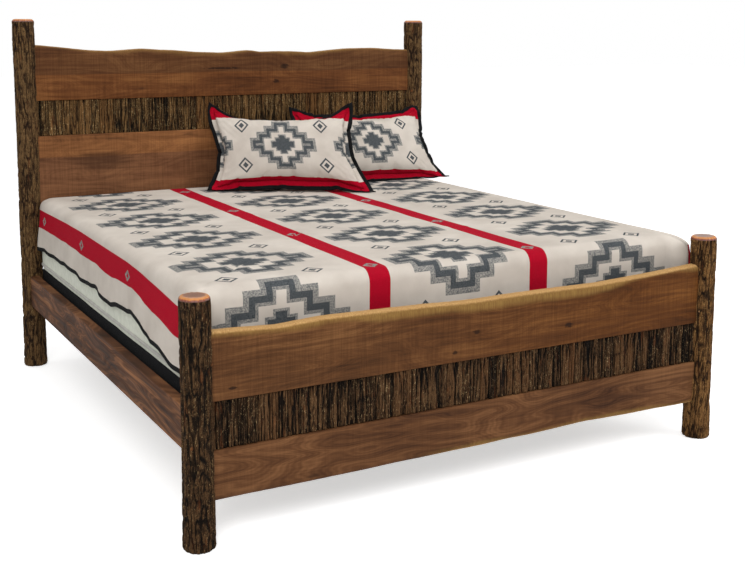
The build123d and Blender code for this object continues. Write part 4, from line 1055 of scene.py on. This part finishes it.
def pillow_pieces(name, spot, seed, roll, shear, widths, ears):
    """A stuffed sham with a flat flange, bound round its edge with black felt. It rides on the body of its own name."""
    uu, vv, front, back, inside = blown_sham(seed)
    rows, columns = uu.shape
    front, back = (settle(part, spot, roll, shear, widths, ears, seed) for part in (front, back))
    body = slice(FLANGE_CELLS, rows - FLANGE_CELLS), slice(FLANGE_CELLS, columns - FLANGE_CELLS)
    hidden = inside[body]
    vertices = np.concatenate([front[body].reshape(-1, 3), back[body][hidden]])
    cloth_u, cloth_v = (np.concatenate([flat[body].ravel(), flat[body][hidden]]) for flat in (uu, vv))
    values = {"cloth_u": cloth_u, "cloth_v": cloth_v}
    sham = make_piece(f"{name}_sham", vertices, sewn_faces(hidden), name, [SHAM], [name], values)

    def corners(ring):
        """Where the corners come along a loop that lies a number of cells in from the sham's outer edge."""
        across, up = columns - 1 - 2 * ring, rows - 1 - 2 * ring
        return np.cumsum([0, across, up, across, up])

    share = np.arange(corners(0)[-1])

    def loops(grid):
        """A grid's values along the loops of the flange, inmost first, spread so that each loop has as many."""
        found = []
        for ring in range(FLANGE_CELLS, -1, -1):
            part = grid[ring : rows - ring, ring : columns - ring]
            path = np.concatenate([part[0, :-1], part[:-1, -1], part[-1, :0:-1], part[:0:-1, 0]])
            where = np.interp(share, corners(0), corners(ring))
            low = np.floor(where).astype(int)
            weight = (where - low).reshape(-1, *[1] * (grid.ndim - 2))
            found.append(path[low % len(path)] * (1 - weight) + path[(low + 1) % len(path)] * weight)
        return np.array(found)

    sheet, flat_u, flat_v = loops(front), loops(uu), loops(vv)
    normal = unit(np.cross(np.roll(sheet, -1, axis=1) - np.roll(sheet, 1, axis=1), np.gradient(sheet, axis=0)))

    def strip(rings, half, label, material, nodes, hem=False, values=None):
        """A closed strip of cloth between two loops of the flange, with a rounded outer edge if it is a hem."""
        part, up = sheet[rings], normal[rings] * half
        edge = part[-1:] + (part[-1:] - part[-2:-1]) * 0.25
        grid = np.concatenate([part + up, *([edge] if hem else []), (part - up)[::-1]])
        faces = grid_faces(*grid.shape[:2], wrap=True, loop=True)
        make_piece(label, grid, faces, name, [material], nodes, values)

    rings, bound = slice(0, FLANGE_CELLS), slice(FLANGE_CELLS - 2, None)
    cloth_u, cloth_v = (np.concatenate([flat[rings], flat[rings][::-1]]) for flat in (flat_u, flat_v))
    values = {"cloth_u": cloth_u, "cloth_v": cloth_v}
    strip(rings, 0.0014, f"{name}_flange_cloth", SHAM, (), values=values)
    strip(bound, 0.0030, f"{name}_binding", BINDING, [f"{name}_flange"], hem=True)


pillow_pieces("back_pillow", pillow_frame(0.680, 0.893, 0.965, yaw=-3, lean=33), seed=301, roll=1.5, shear=0.042,
              widths=(1.0, 0.97, 0.95, 0.97, 0.97), ears=0.012)
pillow_pieces("front_pillow", pillow_frame(0.155, 0.747, 0.987, yaw=-31, lean=27), seed=331, roll=9.5, shear=0.088,
              widths=(1.01, 0.99, 0.955, 0.945, 0.935), ears=0.018)


# --- floor, light and camera ---------------------------------------------------------------------------------------
FLOOR_HALF, FLOOR_DROP = 30.0, 0.0015
FLOOR_GLOW, ROOM_LIGHT = 0.55, 0.46  # the floor's own light for the camera alone, and the world's strength
LAMPS = (("key", (-3.2, -4.6, 4.2), (0, 0, 0.5), 200), ("fill", (3.6, -3.4, 3.2), (0, 0, 0.6), 90),
         ("top", (0, 0.4, 4.8), (0, 0, 0.5), 72))  # name, place, target and watts
LAMP_SIZE = 3.0


def floor_piece():
    mesh = bpy.data.meshes.new("studio_floor")
    corners = [(x * FLOOR_HALF, y * FLOOR_HALF, 0) for x, y in ((-1, -1), (1, -1), (1, 1), (-1, 1))]
    mesh.from_pydata(corners, [], [(0, 1, 2, 3)])
    floor = bpy.data.objects.new("studio_floor", mesh)
    floor.location.z = -FLOOR_DROP
    scene.collection.objects.link(floor)
    s = Shader("studio_floor", roughness=0.9)
    s.feed(s.surface.inputs["Base Color"], srgb(246, 246, 246))
    plain = Term(s, s.surface.outputs[0])
    glow = s.node("ShaderNodeEmission", {"Color": (1, 1, 1, 1), "Strength": FLOOR_GLOW})
    bright = s.node("ShaderNodeAddShader", {0: plain, 1: glow})
    seen = s.node("ShaderNodeLightPath", output="Is Camera Ray")
    mixed = s.node("ShaderNodeMixShader", {0: seen, 1: plain, 2: bright})
    s.feed(s.tree.nodes["Material Output"].inputs["Surface"], mixed)
    mesh.materials.append(s.material)


def room():
    """A world that is white to the camera and in reflections, and dimmer as a light."""
    world = bpy.data.worlds.new("studio")
    world.use_nodes = True
    scene.world = world
    sky = Nodes(world.node_tree)
    seen, mirrored = (sky.node("ShaderNodeLightPath", output=key) for key in ("Is Camera Ray", "Is Glossy Ray"))
    background = sky.tree.nodes["Background"]
    sky.feed(background.inputs["Color"], (1, 1, 1, 1))
    strength = sky.span(sky.math("MAXIMUM", seen, mirrored), 0.0, 1.0, ROOM_LIGHT, 1.0, "LINEAR")
    sky.feed(background.inputs["Strength"], strength)


def lamp(name, place, target, power):
    light = bpy.data.lights.new(name, "AREA")
    light.shape, light.size, light.energy = "DISK", LAMP_SIZE, power
    made = bpy.data.objects.new(name, light)
    scene.collection.objects.link(made)
    made.location = place
    made.rotation_mode = "QUATERNION"
    made.rotation_quaternion = Vector(np.array(target) - np.array(place)).to_track_quat("-Z", "Y")


def camera():
    yaw, pitch, roll = (math.radians(a) for a in (CAMERA_YAW, CAMERA_PITCH, CAMERA_ROLL))
    forward = np.array([math.sin(-yaw) * math.cos(pitch), math.cos(-yaw) * math.cos(pitch), math.sin(pitch)])
    level = np.array([math.cos(-yaw), -math.sin(-yaw), 0])
    up = np.cross(level, forward)
    right, up = math.cos(roll) * level + math.sin(roll) * up, math.cos(roll) * up - math.sin(roll) * level
    data = bpy.data.cameras.new("camera")
    data.sensor_width = SENSOR
    data.lens = FOCAL_PIXELS * SENSOR / FRAME_WIDTH
    data.shift_y = SHIFT_PIXELS / FRAME_WIDTH
    made = bpy.data.objects.new("camera", data)
    scene.collection.objects.link(made)
    made.matrix_world = Matrix([*zip(right, up, -forward, CAMERA_PLACE), (0, 0, 0, 1)])
    scene.camera = made


floor_piece()
room()
for settings in LAMPS:
    lamp(*settings)
camera()
scene.view_settings.view_transform = "Standard"
